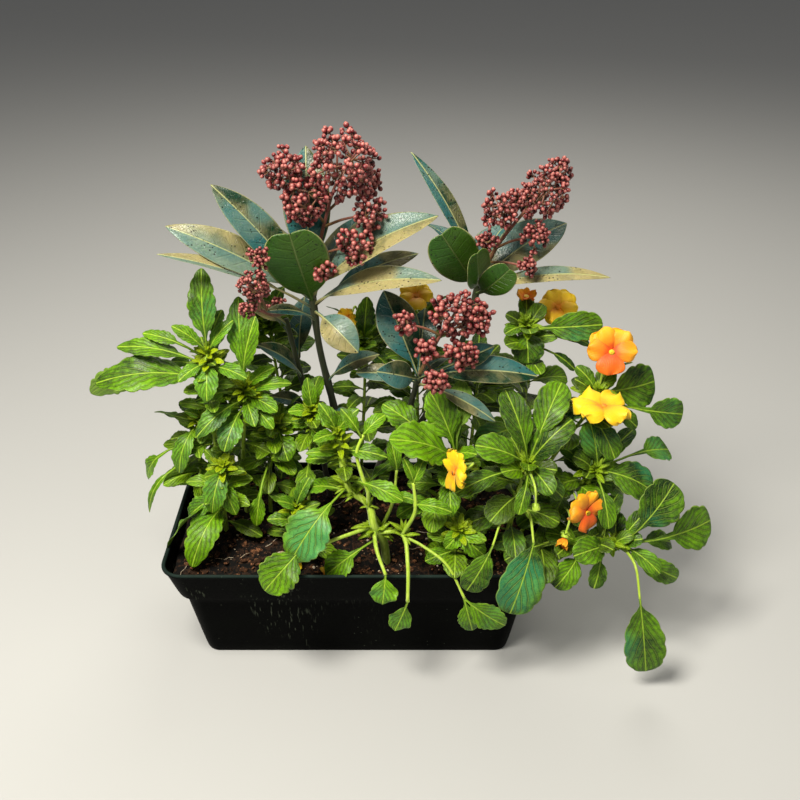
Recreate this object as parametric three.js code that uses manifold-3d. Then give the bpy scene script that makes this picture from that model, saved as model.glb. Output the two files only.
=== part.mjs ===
// A plastic trough planted with yellow and orange pansies round a red-budded skimmia shrub.
// Millimetres, +Z up, +X to the right and -Y towards the viewer. The origin is the middle of the
// trough's flat base, on the ground.
import * as THREE from "three";
import { mergeVertices } from "three/addons/utils/BufferGeometryUtils.js";
import Module from "manifold-3d";

const wasm = await Module();
wasm.setup();

// Driving dimensions of the trough, outside, and of the soil in it
const trough = { width: 360, depth: 190, height: 120, corner: 22, wall: 2.4, floor: 3 };
const collar = { height: 38, step: 5, flare: 9, sharper: 2 };
const base = { width: 302, depth: 132, corner: 14 };
const lip = { height: 4, reach: 1.5 };
const drain = { radius: 5, spread: [-100, -34, 34, 100], sides: 8 };
const soil = { level: 105, slope: 0.05, ripple: 2.2, rings: [0.6, 0.2] };
const clearance = 0.35;

// A blade runs out to sharp edges, and its midrib stands out beneath it
const pansy = {
  rib: 1.4,
  stalk: { root: 1.2, width: 2.2, depth: 1.8 },
  widest: 0.46,
  fullness: 1.15,
  tooth: 0.07,
  arch: 0.16,
  face: 0.6,
};
const skimmia = {
  rib: 1.6,
  stalk: { root: 2, width: 3.2, depth: 2.2 },
  widest: 0.57,
  fullness: 1.5,
  tooth: 0,
  arch: 0.1,
  face: 0.6,
};

// A stem loses this share of its thickness on the way up
const taper = 0.34;
const sideStem = { sides: 3 };
const mainStem = { sides: 4 };

// A cluster's buds are raised from a heart, whose size and whose buds' least reach are shares of
// the cluster's radius. The buds differ in reach by up to the spread.
const bud = { radius: 2.6 };
const cluster = { heart: 0.4, reach: 0.86, spread: 0.28 };
const branch = { axis: 4, twig: 2.6, lowest: 0.25 };

// A bloom hangs from a stalk that hooks over behind it: how far behind its middle the stalk ends
// and bends, how far the bend stands above it, and how far the stalk sags before that
const pedicelShape = { thickness: 2.6, seat: 6, bend: 16, rise: 7, sag: 4, sagAt: 0.55 };
const calyx = { depth: 5, front: 3.4, back: 1.4, behind: 5.6 };
const throatSize = { radius: 3, depth: 5.4 };

// Petals by angle round the face, with how far each lies forward in millimetres and its width and
// reach as shares of the bloom's breadth: two above, two beside and a broad one below
const petals = [
  { angle: 58, layer: -1.8, width: 0.5, reach: 0.5 },
  { angle: 122, layer: -0.6, width: 0.5, reach: 0.5 },
  { angle: 2, layer: 0.6, width: 0.42, reach: 0.5 },
  { angle: 178, layer: 0.6, width: 0.42, reach: 0.5 },
  { angle: 270, layer: 1.8, width: 0.62, reach: 0.48 },
];
// Each cross section of a petal by share of its reach, share of its width and bulge forward
const petalSections = [
  [0.06, 0.12, 0],
  [0.6, 0.96, 0.4],
  [0.98, 0.7, 0],
];
const petalDepth = { front: 0.5, keel: 0.6 };

// Leaves on the side of a shoot that looks away from the viewer: where they start on its stem, the
// fan they spread in and how steeply they rise in degrees, and their size
const hiddenLeaf = {
  start: { first: 0.42, span: 0.56 },
  fan: 150,
  rise: { least: -12, byHeight: 55, spread: 14 },
  reach: { least: 42, spread: 18 },
  blade: 0.7,
  width: { least: 0.3, spread: 0.12 },
  face: -0.4,
};

// Each stem is [path from the soil up, thickness, leaves on it]. A leaf is
// [share of the path where it starts, its tip x, y, z, blade length, width, roll, face, arch]:
// roll turns it round its midrib in degrees, face is how far it looks to the viewer, and arch is
// how high its midrib bows, as a share of its length. The first stem of a shoot roots in the soil,
// and back is how many leaves it has on the side away from the viewer.
const shoots = {
  pansy_left_1: {
    back: 2,
    stems: [
      [
        [[-138, 18, 88], [-137, 12, 150], [-136, 10, 201], [-132, 3, 258], [-131, 0, 302]],
        5,
        [
          [1, -132, 14, 378, 60, 26],
          [0.98, -119, 22, 334, 24, 14],
          [0.98, -160, -6, 331, 30, 15],
          [0.94, -190, 6, 318, 34, 14],
          [0.9, -214, 2, 306, 60, 20],
          [0.84, -252, 22, 246, 66, 28, 120],
          [0.82, -233, -16, 278, 84, 38],
          [0.88, -171, 14, 284, 24, 13],
          [0.93, -156, -24, 284, 26, 14],
          [0.99, -107, 8, 330, 32, 15],
          [0.95, -131, -28, 266, 34, 23],
          [0.9, -94, -22, 286, 30, 16],
        ],
      ],
    ],
  },
  pansy_left_2: {
    back: 2,
    stems: [
      [
        [[-114, 24, 88], [-113, 20, 150], [-110, 15, 192], [-104, 10, 235], [-101, 6, 261]],
        5,
        [
          [1, -104, 27, 345, 58, 24],
          [0.99, -86, 4, 336, 50, 21],
          [0.98, -72, 8, 282, 30, 15],
          [0.94, -57, 2, 268, 40, 15],
          [0.9, -70, -14, 247, 30, 19],
          [0.84, -74, -20, 232, 30, 16],
          [0.88, -90, -26, 238, 28, 15],
          [0.8, -119, -34, 216, 36, 25],
          [0.86, -144, -30, 229, 44, 22],
          [0.94, -146, -10, 256, 28, 15],
        ],
      ],
    ],
  },
  pansy_left_3: {
    back: 1,
    stems: [
      [
        [[-154, 28, 88], [-156, 22, 130], [-156, 20, 160], [-152, 16, 200], [-149, 15, 221]],
        4.4,
        [
          [0.72, -205, 6, 159, 36, 17, 0, 0.6, 0.34],
          [0.6, -203, -12, 131, 58, 8, 0, 0.6, 0.4],
          [0.5, -191, -2, 162, 40, 19, 100],
          [0.97, -168, -14, 179, 48, 20, 0, 0.6, 0.3],
          [1, -170, 28, 234, 24, 13],
          [1, -160, 2, 238, 20, 12],
        ],
      ],
    ],
  },
  pansy_left_4: {
    back: 0,
    stems: [
      [
        [[-130, -6, 86], [-130, -10, 125], [-128, -14, 160], [-124, -18, 190]],
        5,
        [
          [0.55, -180, -46, 113, 56, 26, 60, 0.6, 0.3],
          [0.45, -154, -68, 108, 66, 32, 0, 0.8, 0.28],
          [1, -134, -44, 154, 46, 24, 0, 1.5, 0.3],
          [0.8, -112, -42, 150, 34, 18, 0, 1, 0.3],
          [0.6, -160, -30, 140, 30, 20, 0, 1, 0.3],
        ],
      ],
    ],
  },
  pansy_left_5: {
    back: 3,
    stems: [
      [
        [[-90, 24, 88], [-87, 20, 154], [-79, 17, 195], [-74, 15, 216]],
        4,
        [
          [1, -97, 6, 226, 22, 14],
          [0.98, -44, 4, 221, 28, 13],
          [0.95, -63, -15, 193, 27, 26, 0, 1.2],
          [0.97, -54, 27, 230, 28, 14],
          [0.5, -96, -30, 128, 30, 16, 0, 1, 0.3],
          [0.55, -50, -4, 164, 34, 16],
        ],
      ],
    ],
  },
  pansy_left_6: {
    back: 2,
    stems: [
      [
        [[-50, -28, 86], [-52, -30, 120], [-56, -32, 150]],
        3.5,
        [
          [1, -72, -44, 168, 28, 16],
          [1, -42, -28, 184, 28, 14],
          [0.7, -84, -38, 142, 28, 16],
          [0.5, -40, -62, 118, 30, 18, 0, 1, 0.25],
        ],
      ],
    ],
  },
  pansy_centre_1: {
    back: 2,
    stems: [
      [
        [[-50, 4, 87], [-47, 6, 150], [-44, 8, 200], [-40, 8, 236]],
        3.5,
        [
          [1, -12, -8, 226, 32, 20, 0, 1, 0.3],
          [0.96, -62, -2, 240, 26, 14],
          [0.98, -44, 14, 268, 30, 15],
          [0.8, -22, -4, 196, 32, 17],
        ],
      ],
    ],
  },
  pansy_centre_2: {
    back: 2,
    stems: [
      [
        [
          [31, -46, 86],
          [27, -60, 135],
          [19, -68, 157],
          [14, -60, 175],
          [-5, -50, 188],
          [-9, -45, 210],
          [-14, -36, 238],
        ],
        6,
        [
          [0.67, -56, -92, 136, 60, 44, 0, 0.9, 0.24],
          [0.72, 46, -78, 192, 36, 20],
          [0.88, -42, -52, 226, 28, 10],
          [0.9, 32, -56, 224, 36, 17],
          [0.84, -44, -38, 210, 26, 13],
          [0.6, -44, -24, 168, 32, 19],
          [0.2, -26, -84, 112, 34, 27, 0, 1, 0.2],
          [1, -30, -30, 266, 30, 15],
          [1, 6, -34, 262, 30, 16],
          [0.98, -34, -60, 244, 26, 14],
        ],
      ],
      [
        [[21, -66, 148], [45, -74, 152], [50, -100, 138], [50, -114, 106]],
        3.2,
        [[1, 38, -117, 74, 30, 22, 0, 6, 0.05]],
      ],
      [[[19, -68, 152], [22, -90, 146], [30, -105, 130]], 3, [[1, 27, -114, 103, 26, 27, 0, 6, 0.08]]],
      [[[18, -68, 157], [-20, -84, 152], [-50, -92, 144]], 3, [[1, -80, -108, 114, 48, 38, 0, 1.4, 0.16]]],
      [
        [[44, -74, 151], [64, -84, 146], [86, -97, 134], [102, -110, 106]],
        2.4,
        [
          [1, 140, -112, 76, 40, 27, 0, 6, 0.08],
          [0.98, 110, -112, 70, 30, 22, 0, 6, 0.08],
        ],
      ],
    ],
  },
  pansy_centre_3: {
    back: 3,
    stems: [
      [
        [[72, -18, 87], [74, -28, 140], [79, -36, 166], [88, -34, 190], [95, -30, 206]],
        5,
        [
          [0.95, 33, -60, 246, 64, 44],
          [0.86, 27, -20, 259, 36, 29],
          [1, 70, -16, 270, 46, 34],
          [0.99, 98, 2, 272, 44, 30, 150],
          [0.75, 89, -74, 172, 32, 21, 0, 1, 0.2],
          [1, 112, -54, 226, 28, 18],
          [0.5, 40, -52, 156, 34, 22],
        ],
      ],
    ],
  },
  pansy_centre_4: {
    back: 1,
    stems: [
      [
        [[96, -56, 86], [94, -64, 120], [98, -68, 152]],
        3.5,
        [
          [1, 121, -80, 132, 36, 21, 0, 2, 0.3],
          [1, 84, -82, 142, 28, 18, 0, 2, 0.3],
          [0.6, 66, -78, 124, 26, 17, 0, 1, 0.2],
        ],
      ],
    ],
  },
  pansy_right_1: {
    back: 3,
    stems: [
      [
        [[140, -36, 86], [145, -46, 130], [149, -50, 162], [156, -46, 195], [160, -44, 208]],
        5.5,
        [
          [1, 199, -32, 250, 54, 30],
          [0.96, 191, -6, 274, 52, 32],
          [1, 138, -20, 274, 56, 28],
          [0.9, 92, -80, 202, 42, 21],
          [0.97, 110, -54, 236, 42, 30],
          [1, 178, -84, 204, 34, 22, 0, 1.2],
          [0.94, 148, -90, 186, 26, 14, 0, 1.6, 0.3],
          [0.86, 190, -70, 190, 30, 20],
        ],
      ],
      [[[151, -49, 172], [160, -76, 176], [163, -94, 158]], 3, [[1, 143, -115, 93, 68, 42, 0, 4, 0.08]]],
      [[[152, -48, 178], [136, -80, 178], [126, -98, 158]], 2.6, [[1, 103, -110, 116, 42, 26, 0, 3, 0.12]]],
    ],
  },
  pansy_right_2: {
    back: 2,
    stems: [
      [
        [[158, -12, 86], [168, -15, 118], [192, -20, 146], [214, -26, 176], [227, -30, 194]],
        5,
        [
          [1, 219, -14, 236, 36, 30],
          [0.88, 193, -20, 214, 24, 17],
          [1, 262, -12, 228, 44, 17],
          [0.98, 302, 4, 194, 36, 29],
          [0.99, 280, -38, 174, 48, 38],
          [0.95, 234, -74, 158, 36, 18, 0, 1.5, 0.3],
          [0.66, 168, -56, 196, 50, 34],
          [0.8, 258, -20, 158, 36, 22],
        ],
      ],
    ],
  },
  pansy_right_3: {
    back: 3,
    stems: [
      [
        [[160, -62, 85], [165, -64, 120], [184, -64, 134], [215, -66, 132], [250, -66, 133]],
        5,
        [
          [0.98, 294, -52, 198, 48, 42],
          [0.94, 337, -44, 146, 46, 40],
          [0.9, 199, -98, 146, 40, 27, 0, 1],
          [1, 266, -76, 148, 18, 16],
          [1, 301, -50, 124, 34, 21],
          [1, 281, -94, 122, 34, 19],
          [0.96, 305, -74, 100, 50, 22, 0, 2],
          [0.72, 184, -104, 114, 34, 25, 0, 2, 0.24],
          [0.86, 221, -98, 108, 26, 17, 0, 2, 0.24],
          [0.95, 246, -44, 156, 26, 20],
          [0.97, 270, -58, 166, 26, 16],
        ],
      ],
      [[[250, -66, 133], [258, -92, 130], [262, -108, 104]], 3, [[1, 275, -118, 24, 72, 40, 0, 8, 0.04]]],
    ],
  },
  pansy_right_4: {
    back: 2,
    stems: [
      [
        [[158, 26, 88], [163, 25, 150], [164, 24, 220], [161, 22, 290], [157, 22, 320]],
        3.6,
        [
          [0.97, 138, 8, 316, 26, 14],
          [0.93, 160, 0, 290, 30, 31, 0, 2, 0.2],
          [0.62, 146, 8, 286, 40, 38],
          [0.96, 227, 12, 326, 50, 27],
          [0.9, 219, 22, 298, 46, 14],
          [0.8, 206, 14, 276, 28, 11],
        ],
      ],
    ],
  },
  pansy_right_5: {
    back: 2,
    stems: [
      [
        [[158, 10, 87], [172, 8, 140], [198, 2, 200], [218, -4, 240], [226, -4, 262]],
        4.5,
        [
          [1, 279, 4, 274, 42, 40],
          [0.9, 307, -6, 242, 38, 28],
          [0.86, 262, -20, 234, 28, 17],
          [0.97, 205, 6, 284, 26, 15],
          [0.85, 188, -14, 240, 34, 24],
          [0.76, 240, -40, 212, 36, 24],
          [0.55, 216, -36, 198, 32, 22],
        ],
      ],
    ],
  },
  pansy_back_1: {
    back: 3,
    stems: [
      [
        [[0, 74, 89], [4, 72, 160], [8, 68, 240], [8, 66, 282]],
        3.6,
        [
          [1, 12, 60, 330, 38, 20, 0, 2],
          [0.9, 30, 50, 262, 32, 18],
          [0.95, -16, 78, 304, 34, 18],
        ],
      ],
    ],
  },
  pansy_back_2: {
    back: 3,
    stems: [
      [
        [[-72, 70, 89], [-74, 68, 180], [-80, 64, 260], [-82, 60, 304]],
        3.6,
        [
          [1, -92, 56, 344, 36, 18],
          [1, -66, 60, 340, 32, 16],
          [0.9, -112, 52, 300, 36, 20],
          [0.8, -62, 52, 258, 34, 20],
        ],
      ],
    ],
  },
  pansy_back_3: {
    back: 3,
    stems: [
      [
        [[64, 72, 89], [62, 70, 160], [60, 68, 240], [58, 66, 304]],
        3.6,
        [
          [0.9, 36, 62, 300, 32, 18],
          [0.7, 90, 62, 250, 34, 20],
        ],
      ],
    ],
  },
  pansy_back_4: {
    back: 3,
    stems: [
      [
        [[112, 66, 89], [116, 68, 150], [120, 70, 210], [122, 72, 246]],
        3.8,
        [
          [1, 104, 66, 280, 34, 18],
          [0.9, 148, 58, 250, 34, 20],
        ],
      ],
    ],
  },
  pansy_back_5: {
    back: 2,
    stems: [
      [
        [[-120, 60, 89], [-124, 62, 150], [-128, 64, 200], [-128, 66, 226]],
        4.2,
        [
          [1, -146, 50, 256, 32, 18],
          [0.84, -100, 56, 236, 32, 18],
        ],
      ],
    ],
  },
};

const shrub = {
  skimmia_left: {
    stems: [
      [
        [[-12, 56, 88], [-16, 55, 150], [-22, 50, 211], [-33, 38, 285], [-37, 30, 344]],
        8,
        [
          [0.97, -51, -6, 420, 78, 56, 0, 6, 0.06],
          [1, -119, 25, 450, 112, 32, 0, 1],
          [0.98, -160, 16, 414, 122, 30, 0, 1],
          [0.94, -162, -10, 398, 116, 22, 50],
          [1, 76, 8, 428, 126, 38],
          [0.96, 79, -14, 378, 116, 27],
          [0.95, 60, 48, 378, 84, 24],
          [1, -40, 66, 472, 108, 42, 0, 1],
          [0.93, 6, -14, 308, 52, 30, 0, 1.2, 0.2],
          [0.88, -76, -8, 346, 50, 14],
          [0.62, 24, 22, 288, 58, 20],
          [0.5, 2, 22, 206, 38, 20, 0, 2, 0.3],
          [0.98, -96, 84, 400, 96, 32, 0, -0.4],
          [0.96, 16, 104, 398, 100, 34, 0, -0.4],
        ],
      ],
    ],
  },
  skimmia_low: {
    stems: [
      [
        [[-28, 50, 88], [-35, 48, 150], [-46, 45, 215], [-54, 41, 262], [-63, 36, 318]],
        6,
        [
          [0.97, -98, 30, 340, 40, 16, 0, 1],
          [0.7, -88, 10, 304, 58, 20],
          [0.5, -82, 26, 240, 42, 17],
          [0.9, -112, 78, 326, 70, 26, 0, -0.4],
          [0.75, -50, 92, 316, 60, 24, 0, -0.4],
        ],
      ],
    ],
  },
  skimmia_right: {
    stems: [
      [
        [[28, 60, 88], [42, 54, 150], [80, 40, 235], [104, 33, 305], [114, 30, 356]],
        7,
        [
          [1, 52, 44, 473, 116, 17],
          [0.98, 77, -4, 418, 68, 42, 0, 4, 0.06],
          [0.99, 108, -12, 404, 54, 30, 40, 4],
          [0.95, 138, -10, 388, 48, 28, 0, 4],
          [1, 194, 56, 404, 96, 44],
          [0.96, 228, 6, 372, 112, 17],
          [0.97, 66, 100, 388, 88, 32, 0, -0.4],
          [0.95, 148, 112, 384, 92, 34, 0, -0.4],
        ],
      ],
    ],
  },
  skimmia_centre: {
    stems: [
      [
        [[12, 42, 88], [20, 36, 150], [46, 18, 210], [55, 8, 250], [60, 0, 276]],
        7,
        [
          [1, 28, 38, 346, 74, 38, 0, 1.5],
          [1, 66, 30, 332, 52, 26],
          [0.97, 22, -26, 296, 44, 26, 0, 1.5],
          [0.98, 168, -14, 284, 92, 30],
          [0.99, 128, -4, 310, 42, 20, 0, 2],
          [0.92, 130, -30, 246, 62, 17],
          [0.93, 2, 4, 278, 48, 19],
          [0.9, 90, 52, 268, 56, 24, 0, -0.4],
        ],
      ],
    ],
  },
};

// A cluster of flower buds is [middle x, y, z, radius, buds]; its branch leaves the panicle's axis
// lower down, by how far the cluster hangs below the panicle's reach.
const panicles = {
  panicle_left: {
    axis: [[-36, 29.6, 351], [-28, 28, 395], [-16, 27, 440]],
    reach: 90,
    clusters: [
      [-5, 24, 468, 34, 20],
      [-55, 24, 462, 21, 16],
      [-40, 12, 438, 22, 16],
      [16, 14, 428, 16, 8],
      [6, 6, 402, 18, 16],
      [-24, 6, 380, 11, 8],
      [12, 54, 444, 18, 16],
    ],
  },
  panicle_low: {
    axis: [[-64, 35, 324.5], [-71, 6, 336], [-79, -18, 352]],
    reach: 60,
    clusters: [
      [-80, -26, 371, 15, 16],
      [-86, -32, 350, 11, 8],
      [-68, 16, 341, 8, 8],
    ],
  },
  panicle_right: {
    axis: [[115, 29.7, 360], [130, 27, 395], [152, 24, 428]],
    reach: 80,
    clusters: [
      [167, 20, 444, 23, 20],
      [129, 14, 432, 17, 16],
      [118, 8, 406, 11, 8],
      [159, 10, 410, 14, 8],
      [155, 2, 384, 9, 8],
      [180, 24, 462, 12, 8],
      [150, 44, 428, 15, 8],
    ],
  },
  panicle_centre: {
    axis: [[61, -0.8, 279.6], [72, -7, 308], [84, -10, 334]],
    reach: 60,
    clusters: [
      [91, -10, 345, 24, 20],
      [47, -14, 338, 11, 8],
      [75, -36, 292, 13, 8],
      [112, -12, 340, 14, 8],
      [98, -24, 312, 16, 16],
      [66, -22, 316, 12, 8],
    ],
  },
};

// A bloom is carried by a shoot, at a share of its stem
const blooms = {
  bloom_orange_top: {
    on: "pansy_right_5",
    at: 0.98,
    centre: [231, -16, 310],
    face: [-0.1, -0.85, 0.45],
    breadth: 43,
  },
  bloom_yellow_right: {
    on: "pansy_right_5",
    at: 0.9,
    centre: [225, -36, 264],
    face: [0.1, -0.3, 0.95],
    breadth: 50,
  },
  bloom_yellow_centre: {
    on: "pansy_centre_3",
    at: 0.9,
    centre: [92, -82, 226],
    face: [-0.8, -0.45, 0.15],
    breadth: 38,
  },
  bloom_orange_low: {
    on: "pansy_right_2",
    at: 0.7,
    centre: [212, -72, 176],
    face: [0.5, -0.7, -0.2],
    breadth: 38,
  },
  bloom_orange_bud: {
    on: "pansy_right_2",
    at: 0.5,
    centre: [192, -84, 154],
    face: [-0.3, -0.5, -0.8],
    breadth: 20,
  },
  bloom_yellow_back: {
    on: "pansy_right_4",
    at: 0.95,
    centre: [190, 42, 326],
    face: [-0.2, -0.7, 0.6],
    breadth: 36,
  },
  bloom_amber_back: {
    on: "pansy_right_4",
    at: 1,
    centre: [160, 46, 334],
    face: [0.1, -0.3, 0.9],
    breadth: 26,
  },
  bloom_yellow_half: {
    on: "pansy_back_1",
    at: 0.95,
    centre: [-6, 50, 312],
    face: [-0.4, -0.9, 0.1],
    breadth: 28,
  },
  bloom_yellow_behind: {
    on: "pansy_back_3",
    at: 1,
    centre: [58, 58, 330],
    face: [0.1, -0.6, 0.8],
    breadth: 34,
  },
};

// Colours, with the roughness of each surface
const finishes = {
  planter: { color: "#1a211e", roughness: 0.5 },
  soil: { color: "#2a1d16", roughness: 0.95 },
  pansy: { color: "#4f9a2c", roughness: 0.55 },
  skimmia: { color: "#2e5a3a", roughness: 0.35 },
  panicle: { color: "#8f3b42", roughness: 0.55 },
  yellow: { color: "#f7c21a", roughness: 0.6 },
  orange: { color: "#f58a14", roughness: 0.6 },
};

const upright = new THREE.Vector3(0, 0, 1);
const coneAxis = new THREE.Vector3(0, 1, 0);

function vector(values) {
  return new THREE.Vector3(...values);
}

/** A repeatable share between 0 and 1 for a whole number and a key. */
function draw(index, key) {
  const swing = Math.sin(index * 12.9898 + key * 78.233) * 43758.5453;
  return swing - Math.floor(swing);
}

/** A geometry from points and the triangles that join them by index. */
function geometryOf(points, faces) {
  const geometry = new THREE.BufferGeometry();
  geometry.setFromPoints(points);
  geometry.setIndex(faces);
  return geometry;
}

/** A solid from a closed geometry whose corners are shared. */
function solidOf(geometry) {
  geometry.deleteAttribute("normal");
  geometry.deleteAttribute("uv");
  const merged = mergeVertices(geometry, 1e-4);
  return new wasm.Manifold(
    new wasm.Mesh({
      numProp: 3,
      vertProperties: merged.getAttribute("position").array,
      triVerts: new Uint32Array(merged.index.array),
    }),
  );
}

/** A solid through rings of equally many points, each turning left about the way they run. */
function loft(rings, apex = null) {
  const count = rings[0].length;
  const faces = [];
  rings.slice(1).forEach((ring, level) => {
    ring.forEach((point, corner) => {
      const a = level * count + corner;
      const b = level * count + ((corner + 1) % count);
      faces.push(a, b, b + count, a, b + count, a + count);
    });
  });
  const last = (rings.length - 1) * count;
  const points = rings.flat();
  for (let corner = 1; corner < count - 1; corner++) {
    faces.push(0, corner + 1, corner);
    if (!apex) faces.push(last, last + corner, last + corner + 1);
  }
  if (apex) {
    const tip = points.push(apex) - 1;
    for (let corner = 0; corner < count; corner++) {
      faces.push(last + corner, last + ((corner + 1) % count), tip);
    }
  }
  return solidOf(geometryOf(points, faces));
}

/** A rounded rectangle at one height, as a ring of points. */
function roundedRing(halfWidth, halfDepth, corner, heightAt) {
  const steps = 3;
  const points = [];
  [[1, 1], [-1, 1], [-1, -1], [1, -1]].forEach(([signX, signY], quarter) => {
    for (let step = 0; step <= steps; step++) {
      const angle = ((quarter + step / steps) * Math.PI) / 2;
      const x = signX * (halfWidth - corner) + corner * Math.cos(angle);
      const y = signY * (halfDepth - corner) + corner * Math.sin(angle);
      points.push(new THREE.Vector3(x, y, heightAt(x, y)));
    }
  });
  return points;
}

function level(height) {
  return () => height;
}

/** The trough's outer face, drawn in by inset: [half width, half depth, corner, height]. */
function troughSections(inset) {
  const shoulder = trough.height - collar.height;
  const taper = collar.flare + lip.reach;
  const outer = [trough.width / 2 - inset, trough.depth / 2 - inset];
  const collarFoot = outer.map((half) => half - taper);
  const wallTop = collarFoot.map((half) => half - collar.step);
  const foot = [base.width / 2 - inset, base.depth / 2 - inset];
  const collarTop = outer.map((half) => half - lip.reach);
  const corner = trough.corner - inset;
  return [
    [...foot, base.corner - inset, 0],
    [...wallTop, corner - 2 * collar.sharper, shoulder],
    [...collarFoot, corner - collar.sharper, shoulder],
    [...collarTop, corner, trough.height - lip.height],
    [...outer, corner, trough.height - lip.height],
    [...outer, corner, trough.height],
  ];
}

function planterSolid() {
  const outside = loft(troughSections(0).map(([w, d, c, z]) => roundedRing(w, d, c, level(z))));
  const inner = troughSections(trough.wall);
  const cavity = [
    [...inner[0].slice(0, 3), trough.floor],
    [...inner[1].slice(0, 3), trough.height - collar.height + trough.wall],
    [...inner[2].slice(0, 3), trough.height - collar.height + trough.wall],
    [...inner[3].slice(0, 3), trough.height + 1],
  ];
  const hollow = loft(cavity.map(([w, d, c, z]) => roundedRing(w, d, c, level(z))));
  const holes = drain.spread.map((x) => {
    const hole = new THREE.CylinderGeometry(drain.radius, drain.radius, 4 * trough.floor, drain.sides);
    hole.rotateX(Math.PI / 2).translate(x, 0, 0);
    return solidOf(hole);
  });
  return outside.subtract(wasm.Manifold.union([hollow, ...holes]));
}

function soilHeight(x, y) {
  const ripple = Math.sin(x * 0.061 + y * 0.04) * Math.cos(y * 0.083 - x * 0.023);
  return soil.level + soil.slope * y + soil.ripple * ripple;
}

/** The room the planter takes up, which leaves and stalks stay clear of. */
function planterRoom(solid) {
  const outside = troughSections(-clearance);
  outside.at(-1)[3] += clearance;
  const block = loft(outside.map(([w, d, c, z]) => roundedRing(w, d, c, level(z))));
  const mouth = troughSections(trough.wall + clearance);
  const opening = loft([
    roundedRing(...mouth[2].slice(0, 3), level(trough.height - collar.height + trough.wall)),
    roundedRing(...mouth[3].slice(0, 3), level(trough.height + 2)),
  ]);
  return block.subtract(opening).add(solid);
}

/** The soil up to its surface, where grow lifts the surface. */
function soilSolid(grow) {
  const inner = troughSections(trough.wall + clearance);
  const shoulder = trough.height - collar.height + trough.wall + clearance;
  const lowest = soil.level - soil.slope * (trough.depth / 2) - soil.ripple;
  const rimShare = (lowest - shoulder) / (trough.height + 1 - shoulder);
  const topWidth = THREE.MathUtils.lerp(inner[2][0], inner[3][0], rimShare) - clearance;
  const topDepth = THREE.MathUtils.lerp(inner[2][1], inner[3][1], rimShare) - clearance;
  const surface = (x, y) => soilHeight(x, y) + grow;
  const rings = [
    roundedRing(...inner[0].slice(0, 3), level(trough.floor + clearance)),
    roundedRing(...inner[1].slice(0, 3), level(shoulder)),
    roundedRing(...inner[2].slice(0, 3), level(shoulder)),
    roundedRing(topWidth, topDepth, inner[3][2], surface),
  ];
  soil.rings.forEach((share) => {
    rings.push(roundedRing(topWidth * share, topDepth * share, inner[3][2] * share, surface));
  });
  return loft(rings);
}

/** A stem along a smooth path, thinner by a third at its end. */
function stemSolid(path, thickness, sides, grow) {
  const curve = pathCurve(path);
  const steps = path.length - 1;
  const frames = curve.computeFrenetFrames(steps, false);
  const rings = [];
  for (let step = 0; step <= steps; step++) {
    const centre = curve.getPoint(step / steps);
    const radius = (thickness / 2) * (1 - (taper * step) / steps) + grow;
    const ring = [];
    for (let side = 0; side < sides; side++) {
      const angle = (side / sides) * 2 * Math.PI;
      const offset = frames.normals[step].clone().multiplyScalar(Math.cos(angle) * radius);
      offset.addScaledVector(frames.binormals[step], Math.sin(angle) * radius);
      ring.push(centre.clone().add(offset));
    }
    rings.push(ring);
  }
  rings[0].forEach((point) => point.addScaledVector(frames.tangents[0], -grow));
  rings[steps].forEach((point) => point.addScaledVector(frames.tangents[steps], grow));
  return loft(rings);
}

function pathCurve(path) {
  return new THREE.CatmullRomCurve3(path.map(vector), false, "catmullrom", 0.5);
}

/** The way a blade's upper side looks, square to a direction along it. */
function bladeNormal(along, face) {
  const looks = new THREE.Vector3(0, -face, 1);
  return looks.addScaledVector(along, -looks.dot(along)).normalize();
}

/** Half the width of a blade at a share of its length, 1 at its widest. */
function bladeProfile(share, kind) {
  const rise = kind.widest * kind.fullness;
  const fall = (1 - kind.widest) * kind.fullness;
  const low = (share / kind.widest) ** rise;
  const high = ((1 - share) / (1 - kind.widest)) ** fall;
  return low * high;
}

/** Where a blade has its cross sections: few on a small one, and a tooth between two of them. */
function bladeStations(blade, toothed) {
  if (!toothed) return blade < 40 ? [0.5] : [0.34, 0.74];
  return blade < 56 ? [0.36, 0.76] : [0.28, 0.56, 0.84];
}

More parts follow.
